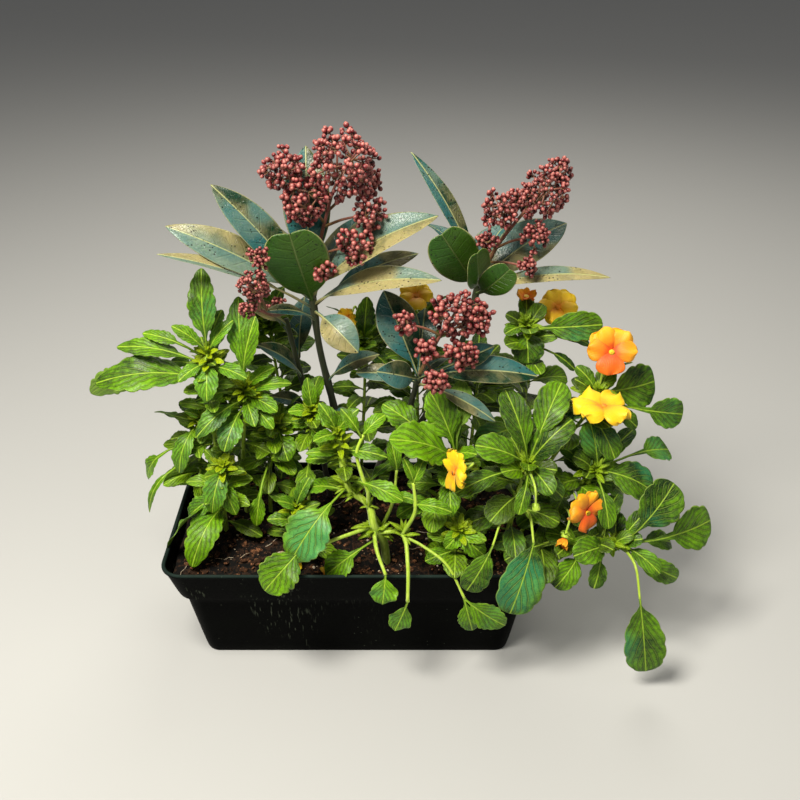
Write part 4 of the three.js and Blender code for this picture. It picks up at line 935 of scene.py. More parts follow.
class NodeBoard:
    """A node material that is put together round one main shader, with colours laid one on another."""

    def __init__(self, name: str, ground: Colour) -> None:
        """Starts an empty material with its shader and output.

        Args:
            name: The material's name.
            ground: The colour that the others are laid on.
        """
        self.colour = ground
        self.material = bpy.data.materials.new(name)
        self.material.use_nodes = True
        self.tree = self.material.node_tree
        self.tree.nodes.clear()
        self.shader = self.tree.nodes.new("ShaderNodeBsdfPrincipled")
        output = self.tree.nodes.new("ShaderNodeOutputMaterial")
        self.tree.links.new(self.shader.outputs[0], output.inputs[0])

    def fill(self, node: bpy.types.Node, inputs: dict) -> None:
        """Fills a node's sockets.

        Args:
            node: The node.
            inputs: Socket name or number to a signal, a number, or a colour.
        """
        for key, value in inputs.items():
            if isinstance(value, Signal):
                self.tree.links.new(value.socket, node.inputs[key])
            else:
                node.inputs[key].default_value = value

    def node(self, kind: str, inputs: dict, **settings: object) -> bpy.types.Node:
        """Adds a node.

        Args:
            kind: The node's kind, after the words ShaderNode.
            inputs: What fills its sockets.
            settings: The node's own options.

        Returns:
            The node.
        """
        node = self.tree.nodes.new("ShaderNode" + kind)
        for option, value in settings.items():
            setattr(node, option, value)
        self.fill(node, inputs)
        return node

    def put(self, kind: str, inputs: dict, output: int | str = 0, **settings: object) -> Signal:
        """Adds a node and takes one of its outputs."""
        return Signal(self, self.node(kind, inputs, **settings).outputs[output])

    def split(self, kind: str, source: Signal) -> list[Signal]:
        """The three parts of a place or a colour."""
        return [Signal(self, output) for output in self.node(kind, {0: source}).outputs]

    def place(self) -> tuple[Signal, Signal]:
        """Across and along the form."""
        across, along, _ = self.split("SeparateXYZ", self.put("UVMap", {}, uv_map="place"))
        return across, along

    def trait(self) -> tuple[Signal, Signal, Signal, Signal]:
        """Tone, underside, half width and youth."""
        source = self.node("Attribute", {}, attribute_name="trait")
        tone, underside, half = self.split("SeparateColor", Signal(self, source.outputs["Color"]))
        return tone, underside, half, Signal(self, source.outputs["Alpha"])

    def shade(self, inputs: dict) -> Material:
        """Gives the main shader its colour and the rest of its inputs, and hands the material over."""
        self.fill(self.shader, {"Base Color": opaque(self.colour), **inputs})
        return self.material

    def math(self, operation: str, first: Signal, second: "Signal | float" = 0.0) -> Signal:
        """One step of arithmetic."""
        return self.put("Math", {0: first, 1: second}, operation=operation)

    def mix(self, share: Signal | float, first: object, second: object, blend: str = "MIX") -> Signal:
        """Two colours mixed by a share of the second."""
        inputs = {0: share, 6: opaque(first), 7: opaque(second)}
        return self.put("Mix", inputs, 2, data_type="RGBA", blend_type=blend)

    def lay(self, share: Signal | float, colour: object, blend: str = "MIX") -> None:
        """Lays a colour over those before it by a share."""
        self.colour = self.mix(share, self.colour, colour, blend)

    def spots(self) -> Signal:
        """The place in the object's own coordinates, in metres."""
        return self.put("TexCoord", {}, "Object")

    def stretched(self, scale: Point) -> Signal:
        """The object's coordinates scaled along each axis."""
        return self.put("Mapping", {"Vector": self.spots(), "Scale": scale})

    def noise(self, grain: float, detail: float = 2.0, vector: Signal | None = None) -> Signal:
        """Soft noise from 0 to 1 whose grains are so many millimetres across."""
        inputs = {"Vector": vector or self.spots(), "Scale": 1 / (grain * METRES), "Detail": detail}
        return self.put("TexNoise", inputs)

    def cells(self, grain: float, feature: str = "F1", output: str = "Distance") -> Signal:
        """Cells so many millimetres across: the distance to their middles or edges, or their colour."""
        inputs = {"Vector": self.spots(), "Scale": 1 / (grain * METRES)}
        return self.put("TexVoronoi", inputs, output, feature=feature)

    def specks(self, grain: float, size: Pair, patch: float, gate: Pair) -> Signal:
        """Small round marks in a grid of that grain, which show only inside patches of the other."""
        return self.cells(grain).step(*size) * self.noise(patch).step(*gate)

    def bump(self, height: Signal, depth: float, strength: float = 1.0) -> None:
        """Raises the surface by a height from 0 to 1 that stands for so many millimetres."""
        inputs = {"Height": height, "Distance": depth * METRES, "Strength": strength}
        self.fill(self.shader, {"Normal": self.put("Bump", inputs)})


def opaque(colour: object) -> object:
    """A colour of three shares with a full fourth, or a signal as it is."""
    return (*colour, 1.0) if isinstance(colour, tuple) else colour


def tint(red: int, green: int, blue: int) -> Colour:
    """A screen colour in steps of 255, turned to light by a power of 2.2."""
    return tuple((step / 255) ** 2.2 for step in (red, green, blue))


@dataclass(frozen=True)
class LeafFinish:
    """A leaf's colours, its veins and its gloss, with a painted sky reflection in teal patches and painted
    shade along its veins.
    """

    name: str
    deep: Colour
    bright: Colour
    young: Colour
    vein: Colour
    under: Colour
    rim: Colour
    painted_sheen: Colour
    veins: float
    slant: float
    vein_strength: float
    puff: float
    mottle: float
    specks: float
    painted_sheen_share: float
    painted_sheen_grain: float
    painted_sheen_least: float
    painted_sheen_side: float
    roughness: Pair
    coat: float

    def build(self) -> Material:
        """A midrib, side veins, patches and specks, with a painted sky reflection and painted shade along
        the veins.

        The midrib is where the distance across is small, and the side veins are where the share
        along times their number, less a slant that grows outwards, is near a whole number.

        Returns:
            The material.
        """
        board = NodeBoard(self.name, self.deep)
        side, along = board.place()
        tone, underside, half, youth = board.trait()
        across = abs(side * 2.0 - 1.0)
        midrib = (across * (half * WIDE_HALF)).step(0.95, 0.3)
        nearness = (along * self.veins - across * self.slant + board.noise(20) * 0.25).fold()
        side_veins = nearness.step(0.1, 0.03) * across.step(1.0, 0.4)
        net = board.cells(2.6, "DISTANCE_TO_EDGE").step(0.09, 0.0)
        veining = midrib.most(side_veins * 0.75).most(net * 0.28)

        broad_patch = board.noise(22, 3.0).step(0.36, 0.66) * 0.5
        small_patch = (board.noise(5, 2.0) - 0.5) * self.mottle
        # The puff height also raises the bump. In the brightness it is painted shade, darker near the veins
        # and lighter on the raised parts between them.
        puff_height_and_painted_shade = (nearness.step(0.0, 0.35) - 0.6) * self.puff
        brightness = broad_patch + small_patch + puff_height_and_painted_shade + (tone - 0.25)
        board.lay(board.put("Clamp", {0: brightness}), self.bright)
        # Painted reflection of the sky: teal patches, fewer on narrow parts. With the side share they fall
        # more on one side of the midrib.
        painted_sheen_region = board.noise(self.painted_sheen_grain, 0.5) + tone * -0.12 + side.step(0.45, 0.55) * self.painted_sheen_side
        painted_sheen = painted_sheen_region.step(0.48, 0.58) * half.step(0.45, 0.85).between(self.painted_sheen_least, 1.0)
        board.lay(painted_sheen * self.painted_sheen_share, self.painted_sheen)
        board.lay(youth, self.young)
        # Painted shade: the deep colour laid in a band along each side vein, where the quilted blade's
        # creases lie.
        painted_groove_shade = nearness.step(0.3, 0.08) * across.step(1.0, 0.5)
        board.lay(painted_groove_shade * (self.puff * 1.6), self.deep)
        faded = youth * -0.55 + 0.7
        board.lay(midrib.most(veining * self.vein_strength) * faded, self.vein)
        board.lay(across.step(0.93, 1.0) * 0.55, self.rim)
        board.lay(underside * 0.75, self.under)
        board.lay(board.specks(3.6, (0.27, 0.15), 12, (0.46, 0.56)) * self.specks, tint(20, 22, 18))
        grain = board.noise(2.4, 4.0)
        board.lay(0.4, board.mix(grain, (0.25, 0.25, 0.25), (1.4, 1.4, 1.4)), "MULTIPLY")
        board.bump(grain * 0.3 + puff_height_and_painted_shade - veining, 0.6)
        return board.shade({
            "Roughness": (grain * 0.6 + underside * 0.4).between(*self.roughness),
            "Coat Weight": self.coat, "Coat Roughness": 0.28, "Specular IOR Level": 0.28,
            "Subsurface Weight": 0.12, "Subsurface Radius": (0.6, 1.0, 0.25), "Subsurface Scale": 0.0015,
        })


@dataclass(frozen=True)
class StemFinish:
    """A stem's colours from its lower part to its top, and its fine down."""

    name: str
    low: Colour
    high: Colour
    streak: Colour
    roughness: float

    def build(self) -> Material:
        """Long streaks and a colour that changes along the stem.

        Returns:
            The material.
        """
        board = NodeBoard(self.name, self.low)
        streaks = board.noise(2.0, 3.0, board.stretched((1.0, 1.0, 0.15)))
        board.lay(board.place()[1], self.high)
        board.lay(streaks.step(0.45, 0.75) * 0.6, self.streak)
        board.lay(board.specks(3.0, (0.22, 0.1), 9, (0.52, 0.6)) * 0.5, tint(60, 58, 26))
        board.bump(streaks, 0.3, 0.7)
        return board.shade({"Roughness": self.roughness, "Sheen Weight": 0.15})


@dataclass(frozen=True)
class PetalFinish:
    """A petal's colours from its edge to the throat, and how dark its lines are."""

    name: str
    edge: Colour
    middle: Colour
    throat: Colour
    lines: float
    deepening: float

    def build(self) -> Material:
        """Bands along the petal, and lines that fan out from the throat.

        Returns:
            The material.
        """
        board = NodeBoard(self.name, self.throat)
        across, along = board.place()
        depth, underside, _, _ = board.trait()
        reach = along + (board.noise(7) - 0.5) * 0.3
        board.lay(reach.step(0.12, 0.42), self.middle)
        board.lay(reach.step(0.35, 0.95), self.edge)
        board.lay(depth * self.deepening, self.throat)
        fan = (across * 15.0).fold()
        board.lay(fan.step(0.12, 0.03) * reach.step(0.62, 0.25) * self.lines, tint(120, 44, 10))
        board.lay(underside * 0.25, (1.0, 0.95, 0.8), "MULTIPLY")
        board.bump(fan * 1.2 + board.noise(1.6, 2.0) * 0.5, 0.22, 0.7)
        return board.shade({
            "Roughness": 0.55, "Sheen Weight": 0.08,
            "Subsurface Weight": 0.2, "Subsurface Radius": (1.0, 0.6, 0.15), "Subsurface Scale": 0.002,
        })


@dataclass(frozen=True)
class BudFinish:
    """A flower bud's colours from its foot to its tip: painted shade at the foot and a painted highlight at
    the tip.
    """

    name: str
    foot: Colour
    body: Colour
    tip: Colour

    def build(self) -> Material:
        """Painted shade at the foot, a painted highlight at the tip, and each bud darkened by its tone.

        Returns:
            The material.
        """
        board = NodeBoard(self.name, self.foot)
        around, along = board.place()
        # The foot colour, laid first, is painted shade, and the tip colour is a painted highlight.
        board.lay(along.step(0.0, 0.35), self.body)
        board.lay(along.step(0.45, 1.0) * 0.7, self.tip)
        board.lay((around * 4.0).fold().step(0.1, 0.0) * 0.45, self.foot)
        # The tone's darkening is partly random and partly painted shade inside each cluster.
        board.lay(board.trait()[0] * 0.75, (0.34, 0.28, 0.3), "MULTIPLY")
        board.bump(board.noise(0.9, 2.0), 0.12, 0.5)
        return board.shade({"Roughness": 0.42, "Coat Weight": 0.12, "Coat Roughness": 0.35})


@dataclass(frozen=True)
class CompostFinish:
    """Crumbly compost or the bits in it."""

    name: str
    dark: Colour
    pale: Colour
    fleck: Colour
    flecks: float

    def build(self) -> Material:
        """Crumbs of two sizes, each of its own shade, and pale flecks.

        Returns:
            The material.
        """
        board = NodeBoard(self.name, self.dark)
        shade, second_shade, _ = board.split("SeparateColor", board.cells(3.5, "F1", "Color"))
        fine = board.noise(1.4, 4.0)
        board.lay(shade.step(0.35, 0.95) * fine.step(0.3, 0.7), self.pale)
        fleck = board.cells(4.6).step(0.2, 0.12) * second_shade.step(0.55, 0.6)
        board.lay(fleck * self.flecks, self.fleck)
        board.bump(fine + board.cells(3.5) * 0.8, 1.2)
        return board.shade({"Roughness": 0.9, "Specular IOR Level": 0.25})


@dataclass(frozen=True)
class PlasticFinish:
    """The trough's scuffed dark plastic."""

    name: str
    body: Colour
    scuff: Colour
    rim: Colour
    rim_height: float

    def build(self) -> Material:
        """Pale scratches that run down the wall, specks, dust and a painted highlight in patches along the
        rim's top.

        Returns:
            The material.
        """
        board = NodeBoard(self.name, self.body)
        east, _, height = board.split("SeparateXYZ", board.spots())
        on_left = east.step(60 * METRES, -120 * METRES)
        where = board.noise(45, 2.0).step(0.48, 0.62) * on_left
        marks = board.noise(2.2, 2.0, board.stretched((1.0, 1.0, 0.06))).step(0.6, 0.7) * where
        specks = board.specks(6.0, (0.12, 0.06), 30, (0.5, 0.6))
        # Painted highlight: paler patches along the rim's top, where the light falls.
        painted_rim_highlight = height.step((self.rim_height - 3.0) * METRES, (self.rim_height - 0.6) * METRES)
        painted_rim_highlight = painted_rim_highlight * board.noise(12, 3.0).between(0.45, 1.0)
        board.lay(board.noise(26, 4.0).step(0.42, 0.75) * 0.3, tint(12, 16, 10))
        board.lay(marks.most(specks) * 0.45, self.scuff)
        board.lay(painted_rim_highlight * 0.75, self.rim)
        board.bump(board.noise(1.1, 2.0) - marks, 0.12, 0.6)
        rough = (board.noise(2.0, 3.0) + marks).between(0.42, 0.7)
        return board.shade({"Roughness": rough, "Specular IOR Level": 0.03})


# The teal colour and its shares paint the sky's reflection on the leaves.
PANSY_LEAF = LeafFinish(
    "pansy leaf", deep=tint(10, 46, 0), bright=tint(110, 162, 2), young=tint(180, 204, 4),
    vein=tint(170, 206, 66), under=tint(122, 156, 58), rim=tint(170, 200, 80), painted_sheen=tint(60, 150, 100),
    veins=5.0, slant=3.0, vein_strength=0.6, puff=0.3, mottle=1.1, specks=0.35, painted_sheen_share=0.6,
    painted_sheen_grain=80, painted_sheen_least=0.12, painted_sheen_side=0.0, roughness=(0.36, 0.62), coat=0.06,
)
SKIMMIA_LEAF = LeafFinish(
    "skimmia leaf", deep=tint(6, 52, 36), bright=tint(156, 146, 100), young=tint(46, 88, 0),
    vein=tint(176, 180, 124), under=tint(142, 138, 88), rim=tint(222, 218, 158), painted_sheen=tint(56, 114, 118),
    veins=8.0, slant=1.2, vein_strength=0.1, puff=0.0, mottle=0.25, specks=0.95, painted_sheen_share=0.65,
    painted_sheen_grain=60, painted_sheen_least=1.0, painted_sheen_side=0.2, roughness=(0.26, 0.46), coat=0.07,
)
FINISHES = [
    PANSY_LEAF,
    StemFinish("pansy stem", tint(134, 166, 36), tint(176, 208, 58), tint(206, 226, 110), 0.5),
    SKIMMIA_LEAF,
    StemFinish("skimmia stem", tint(26, 24, 18), tint(48, 58, 30), tint(72, 62, 44), 0.75),
    StemFinish("panicle stalk", tint(104, 88, 44), tint(128, 62, 62), tint(158, 98, 84), 0.55),
    # The bud's first colour is painted shade at the foot and its last is a painted highlight at the tip.
    BudFinish("skimmia bud", tint(40, 10, 14), tint(120, 40, 45), tint(214, 132, 122)),
    PetalFinish("yellow petal", tint(250, 204, 14), tint(250, 190, 8), tint(242, 150, 8), 0.35, 0.15),
    PetalFinish("orange petal", tint(253, 176, 10), tint(248, 140, 6), tint(226, 80, 4), 0.5, 0.8),
    CompostFinish("compost", tint(11, 8, 6), tint(66, 46, 32), tint(150, 120, 92), 0.8),
    CompostFinish("bark chips", tint(52, 34, 22), tint(156, 106, 74), tint(196, 160, 122), 0.4),
    CompostFinish("pale bits and roots", tint(172, 156, 134), tint(214, 204, 188), tint(238, 232, 220), 0.6),
    # The dark plastic's third colour is the painted highlight on the rim's top.
    PlasticFinish("dark plastic", tint(3, 6, 4), tint(104, 112, 96), tint(48, 62, 58), 120.0),
]


def link(name: str, data: bpy.types.ID) -> bpy.types.Object:
    """Puts a mesh, a light or a camera in the scene."""
    made = bpy.data.objects.new(name, data)
    bpy.context.scene.collection.objects.link(made)
    return made


@dataclass
class Piece:
    """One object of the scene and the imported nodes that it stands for."""

    name: str
    slot: str
    finishes: list[Material]
    surfaces: list[Surface] = field(default_factory=list)
    sharp_angle: float | None = None

    def add(self, surface: Surface, finish: int = 0) -> None:
        """Adds a surface under one of the piece's materials."""
        surface.finish = finish
        self.surfaces.append(surface)

    def mesh(self) -> bpy.types.Mesh:
        """Joins the surfaces in one mesh.

        Returns:
            The mesh, in metres, with what its finishes read.
        """
        surfaces = self.surfaces
        points = np.concatenate([s.points for s in surfaces]) * METRES
        place = np.concatenate([s.place for s in surfaces])
        trait = np.concatenate([s.trait for s in surfaces])
        first = np.cumsum([0, *(len(s.points) for s in surfaces)])
        faces = [s.quads + start for s, start in zip(surfaces, first)]
        faces += [s.triangles + start for s, start in zip(surfaces, first)]
        corners = np.concatenate([face.ravel() for face in faces])
        sides = np.concatenate([np.full(len(face), face.shape[1]) for face in faces])
        finish = np.concatenate([np.full(len(face), s.finish) for face, s in zip(faces, surfaces * 2)])

        mesh = bpy.data.meshes.new(self.name)
        mesh.vertices.add(len(points))
        mesh.loops.add(len(corners))
        mesh.polygons.add(len(sides))
        mesh.vertices.foreach_set("co", points.astype(np.float32).ravel())
        mesh.loops.foreach_set("vertex_index", corners.astype(np.int32))
        mesh.polygons.foreach_set("loop_start", (np.cumsum(sides) - sides).astype(np.int32))
        mesh.polygons.foreach_set("material_index", finish.astype(np.int32))
        mesh.polygons.foreach_set("use_smooth", np.ones(len(sides), bool))
        mesh.update(calc_edges=True)
        uv = mesh.uv_layers.new(name="place")
        uv.data.foreach_set("uv", place[corners].astype(np.float32).ravel())
        colour = mesh.attributes.new("trait", "FLOAT_COLOR", "POINT")
        colour.data.foreach_set("color", trait.astype(np.float32).ravel())
        return mesh

    def show(self, *stands_for: str) -> bpy.types.Object:
        """Makes the object from its surfaces and rides it on the part's one body.

        Args:
            stands_for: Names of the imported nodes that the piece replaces.

        Returns:
            The object, at the origin, with its place in its mesh.
        """
        mesh = self.mesh()
        if self.sharp_angle is not None:
            mesh.set_sharp_from_angle(angle=np.radians(self.sharp_angle))
        for material in self.finishes:
            mesh.materials.append(material)
        made = link(self.name, mesh)
        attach(made, "root")
        if stands_for:
            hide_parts(*stands_for)
        log.info("%s: %d faces", self.name, len(mesh.polygons))
        return made


@dataclass(frozen=True)
class FlowerFrame:
    """A flower's middle and its three directions."""

    centre: Array
    face: Array
    upwards: Array
    sideways: Array

    @classmethod
    def of(cls, bloom: Bloom) -> "FlowerFrame":
        """Reads a flower's row: upwards is +Z made square to its face."""
        face = unit(np.array(bloom.face, float))
        upwards = unit(np.array([0, 0, 1.0]) - face * face[2])
        return cls(np.array(bloom.centre, float), face, upwards, np.cross(upwards, face))

    def ray(self, angle: Array) -> Array:
        """Directions in the flower's plane, at angles from sideways towards upwards."""
        return np.cos(angle)[..., None] * self.sideways + np.sin(angle)[..., None] * self.upwards

    def behind(self, distance: float) -> Array:
        """The point so many millimetres behind the flower's middle."""
        return self.centre - distance * self.face

    def bell(self, along: Array, radius: Array, look: Look, hollow: float = 0.0) -> Surface:
        """A round body about the flower's axis.

        Args:
            along: How far before the flower's middle each ring stands.
            radius: Each ring's radius.
            look: The body's brightness and youth.
            hollow: How deep its front is drawn in.

        Returns:
            The body.
        """
        circle = self.ray(ring_angles(12))
        rings = self.centre + self.face * along[:, None, None] + radius[:, None, None] * circle
        start, end = rings[0].mean(0)[None], rings[-1].mean(0)[None]
        return plain_forms(rings[None], start, end - self.face * hollow, look)


@dataclass
class Assembly:
    """A sub-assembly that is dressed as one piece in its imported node's place.

    It holds its name, slot, seed and materials, then the piece that its surfaces go to and its draws.
    """

    name: str
    slot: str
    seed: int
    finishes: list[Material]
    piece: Piece = field(init=False)
    rng: Draws = field(init=False)

    def __post_init__(self) -> None:
        """Starts the piece and the draws."""
        self.piece = Piece(f"{self.name}_dressed", self.slot, self.finishes)
        self.rng = np.random.default_rng(self.seed)

    def dress(self) -> None:
        """Adds the sub-assembly's surfaces to its piece."""
        raise NotImplementedError

    def build(self) -> bpy.types.Object:
        """Dresses the piece and makes its object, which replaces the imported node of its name."""
        self.dress()
        return self.piece.show(self.name)


@dataclass(frozen=True)
class Patch:
    """How the pansies of one part of the trough differ.

    Tone is their leaves' brightness, young their rosettes' youth, kind their leaves' form and filler
    the small leaves along their stems. Claws is how many lobes stand round a joint, stoutness how
    much thicker the stems are, and small_hanging the form of the leaves on small hanging stems.
    """

    tone: float
    kind: LeafKind
    filler: Whorl
    young: float
    claws: int = 4
    stoutness: float = 1.0
    small_hanging: LeafKind = PANSY


@dataclass(frozen=True)
class FlowerStalk:
    """A flower's hooked stalk, the bell it ends in and the five sepals behind the petals.

    The stalk climbs to a bend behind and above the flower, hangs back a little on the way, and
    turns down to its seat behind the middle.
    """

    bloom: Bloom
    thickness: float = 2.4
    bend_back: float = 16.0
    bend_rise: float = 7.0
    slack_at: float = 0.55
    slack: float = 4.0
    seat: float = 6.0
    sepals: int = 5
    sepal_seat: float = 7.0
    sepal_turn: float = 0.3
    sepal_spread: float = 0.24
    sepal_lift: float = 2.5
    sepal_length: float = 11.0
    sepal_width: float = 4.2

    def join(self, piece: Piece, main: Path, rng: Draws) -> None:
        """Adds the stalk to its shoot's piece.

        Args:
            piece: The shoot's piece.
            main: The path of the stem that the stalk leaves.
            rng: Draws the sepals' tones and waves.
        """
        flower = FlowerFrame.of(self.bloom)
        start = smooth_path(main, np.array([self.bloom.at]))[0]
        bend = flower.behind(self.bend_back) + np.array([0, 0, self.bend_rise])
        slack = start + self.slack_at * (bend - start) - self.slack * flower.face
        path = [tuple(point) for point in (start, slack, bend, flower.behind(self.seat))]
        piece.add(stem_tube(path, self.thickness, Look(0.8), ring=6, taper=0.1), 1)
        root = flower.behind(self.sepal_seat)
        spread = flower.ray(ring_angles(self.sepals) + self.sepal_turn) * self.sepal_spread
        spread = spread * self.bloom.breadth
        tips = root + (spread + flower.face * self.sepal_lift)
        leaves = [Leaf(0, tuple(tip), self.sepal_length, self.sepal_width, arch=0.02) for tip in tips]
        roots = np.broadcast_to(root, tips.shape)
        piece.add(leaf_surface(roots, leaves, SEPAL, Fineness.SMALL, Look(0.6, 0.2), rng))
        rows = np.linspace(0, 1, 7)
        piece.add(flower.bell(rows * 6.6 - 8.2, 1.2 + 2.4 * np.sin(np.pi * 0.6 * rows), Look(0.6)), 1)


ROSETTE = Whorl(22, 0.88, 1.0, (25, 9), (5, 80), 0.32, forward=0.25)
PATCHES = {
    "left": Patch(0.6, PANSY, Whorl(20, 0.22, 0.95, (40, 24), (-16, 42), forward=0.3), 0.9),
    "pansy_centre_2": Patch(
        0.66, PANSY, Whorl(5, 0.6, 0.95, (30, 22), (-10, 30), 0.5), 0.75, 8, 1.35, DIAMOND,
    ),
    "centre": Patch(0.66, PANSY, Whorl(13, 0.3, 0.95, (42, 26), (-25, 30), 0.55), 0.75),
    "right": Patch(0.32, BROAD, Whorl(18, 0.15, 0.95, (54, 28), (-20, 42), 0.54, 0.2), 0.4),
    "back": Patch(0.3, PANSY, Whorl(38, 0.06, 0.97, (50, 32), (-8, 45), 0.48), 0.35),
}


@dataclass
class PansyShoot(Assembly):
    """A pansy shoot: stems, leaves, rosettes of young leaves and the stalks of its flowers.

    A long stem carries all of its patch's filler leaves, and a shorter one carries its share of
    them but no fewer than the least fill.
    """

    shoot: Shoot
    blooms: list[Bloom]
    whole_length: float = 130.0
    least_fill: int = 4
    small_blade: float = 30.0
    branch_joint: float = 0.03

    def dress(self) -> None:
        """Adds the stems, the leaves on the far side and the flower stalks."""
        patch = PATCHES.get(self.name) or PATCHES[self.name.split("_")[1]]
        for stem in self.shoot.stems:
            self.add_stem(stem, patch)
        main = self.shoot.stems[0].path
        hidden = hidden_leaves(main, self.shoot.back, self.seed)
        if hidden:
            self.add_leaves(main, hidden, patch.kind, Fineness.SMOOTH, Look(patch.tone - 0.15))
        for bloom in self.blooms:
            FlowerStalk(bloom).join(self.piece, main, self.rng)

    def add_leaves(self, path: Path, leaves: list[Leaf], *looks: LeafKind | Fineness | Look) -> None:
        """Adds leaves of a kind, a fineness and a look that start from one stem."""
        self.piece.add(leaves_on(path, leaves, *looks, self.rng))

    def add_stem(self, stem: Stem, patch: Patch) -> None:
        """Adds one stem with its leaves and claws, and a main stem's fillers and rosette.

        Args:
            stem: The stem's row.
            patch: How the pansies differ there.
        """
        path, first = stem.path, stem.leaves[0]
        joints = [leaf.at for leaf in stem.leaves]
        branch = stem is not self.shoot.stems[0]
        small_hanging = branch and first.blade <= self.small_blade and first.tip[2] < path[-1][2]
        kind = patch.small_hanging if small_hanging else patch.kind
        self.piece.add(stem_tube(path, stem.thickness * patch.stoutness, Look(patch.tone), joints), 1)
        self.add_leaves(path, stem.leaves, kind, Fineness.FULL, Look(patch.tone))
        claws = stipules(path, [self.branch_joint] if branch else joints, patch.claws, self.rng)
        self.add_leaves(path, claws, STIPULE, Fineness.TINY, Look(0.9, 0.5))
        if branch:
            return
        length = np.linalg.norm(np.subtract(path[-1], path[0]))
        count = round(patch.filler.count * min(1.0, length / self.whole_length))
        fill = replace(patch.filler, count=max(self.least_fill, count)).leaves(path, self.rng)
        small = replace(patch.kind, stalk_width=1.6, stalk_depth=1.3)
        self.add_leaves(path, fill, small, Fineness.MIDDLE, Look(patch.tone - 0.1, patch.young * 0.15, 0.3))
        rosette = ROSETTE.leaves(path, self.rng)
        self.add_leaves(path, rosette, YOUNG, Fineness.SMALL, Look(0.9, patch.young, 0.2))


@dataclass(frozen=True)
class Petal:
    """A petal's direction in degrees, its layer in millimetres, and its width and reach as shares.

    Depth is how much of the throat's colour it takes.
    """

    angle: float
    layer: float
    width: float
    reach: float
    depth: float


PETALS = [
    Petal(62, -1.8, 0.54, 0.54, 0.0),
    Petal(124, -0.6, 0.54, 0.54, 0.05),
    Petal(6, 0.6, 0.48, 0.52, 0.25),
    Petal(176, 0.6, 0.48, 0.5, 0.35),
    Petal(268, 1.8, 0.58, 0.48, 1.0),
]
PETAL_OUTLINE = replace(PANSY, widest=0.64)


@dataclass
class BloomHead(Assembly):
    """A flower of five ruffled petals round a small throat.

    A flower no broader than shut has the least opening, one of twice that breadth is wide open.
    """

    bloom: Bloom
    shut: float = 18.0
    least_opening: float = 0.15
    least_half: float = 1.3

    def dress(self) -> None:
        """Adds the petals and the throat."""
        flower = FlowerFrame.of(self.bloom)
        for petal in PETALS:
            self.piece.add(self.petal_surface(flower, petal))
        rows = np.linspace(0, 1, 5)
        self.piece.add(flower.bell(rows * 6 - 2.6, 1.0 + 1.5 * rows ** 2, Look(0.5), hollow=1.6), 1)

    def petal_surface(self, flower: FlowerFrame, petal: Petal) -> Surface:
        """One petal as flat rings along its length.

        Its half width rises as a power of the share of its length and falls to a round end. It bows
        the way the flower looks, more in a half open one. Sines that grow with the share ruffle its
        edge, and finer ones frill it.

        Args:
            flower: The flower's middle and directions.
            petal: The petal's row.

        Returns:
            The petal.
        """
        rows, ring = 16, 24
        frill, breadth = self.bloom.frill, self.bloom.breadth
        opening = np.clip((breadth - self.shut) / self.shut, self.least_opening, 1.0)
        even = np.linspace(0, 1, rows + 2)[1:-1]
        s = (0.55 * even + 0.45 * (1 - np.cos(np.pi * even)) / 2)[:, None]
        u, w = np.cos(ring_angles(ring)), np.sin(ring_angles(ring))
        uneven = 1 + 0.05 * np.sin(9 * u + self.rng.uniform(0, 6))
        half = petal.width * breadth / 2 * blade_profile(s, PETAL_OUTLINE) * uneven
        half = np.maximum(half, self.least_half)
        reach = petal.reach * breadth
        ray = flower.ray(np.array(np.radians(petal.angle)))
        side = np.cross(flower.face, ray)
        phase = self.rng.uniform(0, TURN, 3)
        waves = np.sin(3.4 * u + phase[0]) + 0.6 * np.sin(6.5 * u + 4 * s + phase[1])
        ruffle = 0.055 * breadth * s ** 2 * waves
        ruffle = ruffle + frill * 0.04 * breadth * s ** 3 * np.sin(11 * u + phase[2])
        cup = breadth * (1 - opening) * 0.42 * s ** 1.5 + 0.09 * breadth * opening * np.sin(np.pi * s * 0.8)
        curl = -0.10 * breadth * opening * np.abs(u) ** 2 * s
        curl = curl + 0.05 * breadth * self.rng.uniform(-1, 1) * u * s
        forward = petal.layer + cup + curl + ruffle + 0.22 * w
        out = reach * s * (0.45 + 0.55 * opening) + 0.06 * reach * np.cos(2.2 * u + phase[2]) * s ** 3
        out = out + frill * 0.05 * reach * np.sin(9.5 * u + 2 * phase[0]) * s ** 4
        across = half * u * (0.6 + 0.4 * opening)
        rings = flower.centre + ray * out[..., None] + side * across[..., None]
        rings = rings + flower.face * forward[..., None]
        place = np.stack(np.broadcast_arrays(0.5 + 0.5 * u, s), -1)
        trait = even_trait(Look(petal.depth), (1, rows, ring))
        trait[..., 1] = w < 0
        start = flower.centre + flower.face * petal.layer
        return closed_rings(rings[None], start[None], rings[-1].mean(0)[None], place[None], trait)


WHORL_TONES = {
    "skimmia_left": (1.0, 0.2, 0.75, 1.0, 0.75, 1.0, 0.4, 0.15, 0.7, 0.2, 0.3, 0.2),
    "skimmia_low": (0.7, 0.2, 0.2),
    "skimmia_right": (0.1, 1.0, 1.0, 1.0, 0.35, 1.0),
    "skimmia_centre": (0.1, 0.2, 0.3, 0.1, 0.2, 0.5, 0.3),
}
OTHER_TONE = 0.25
NOTCHED_LEAVES = {"skimmia_left": (0,), "skimmia_right": (1, 2, 3)}


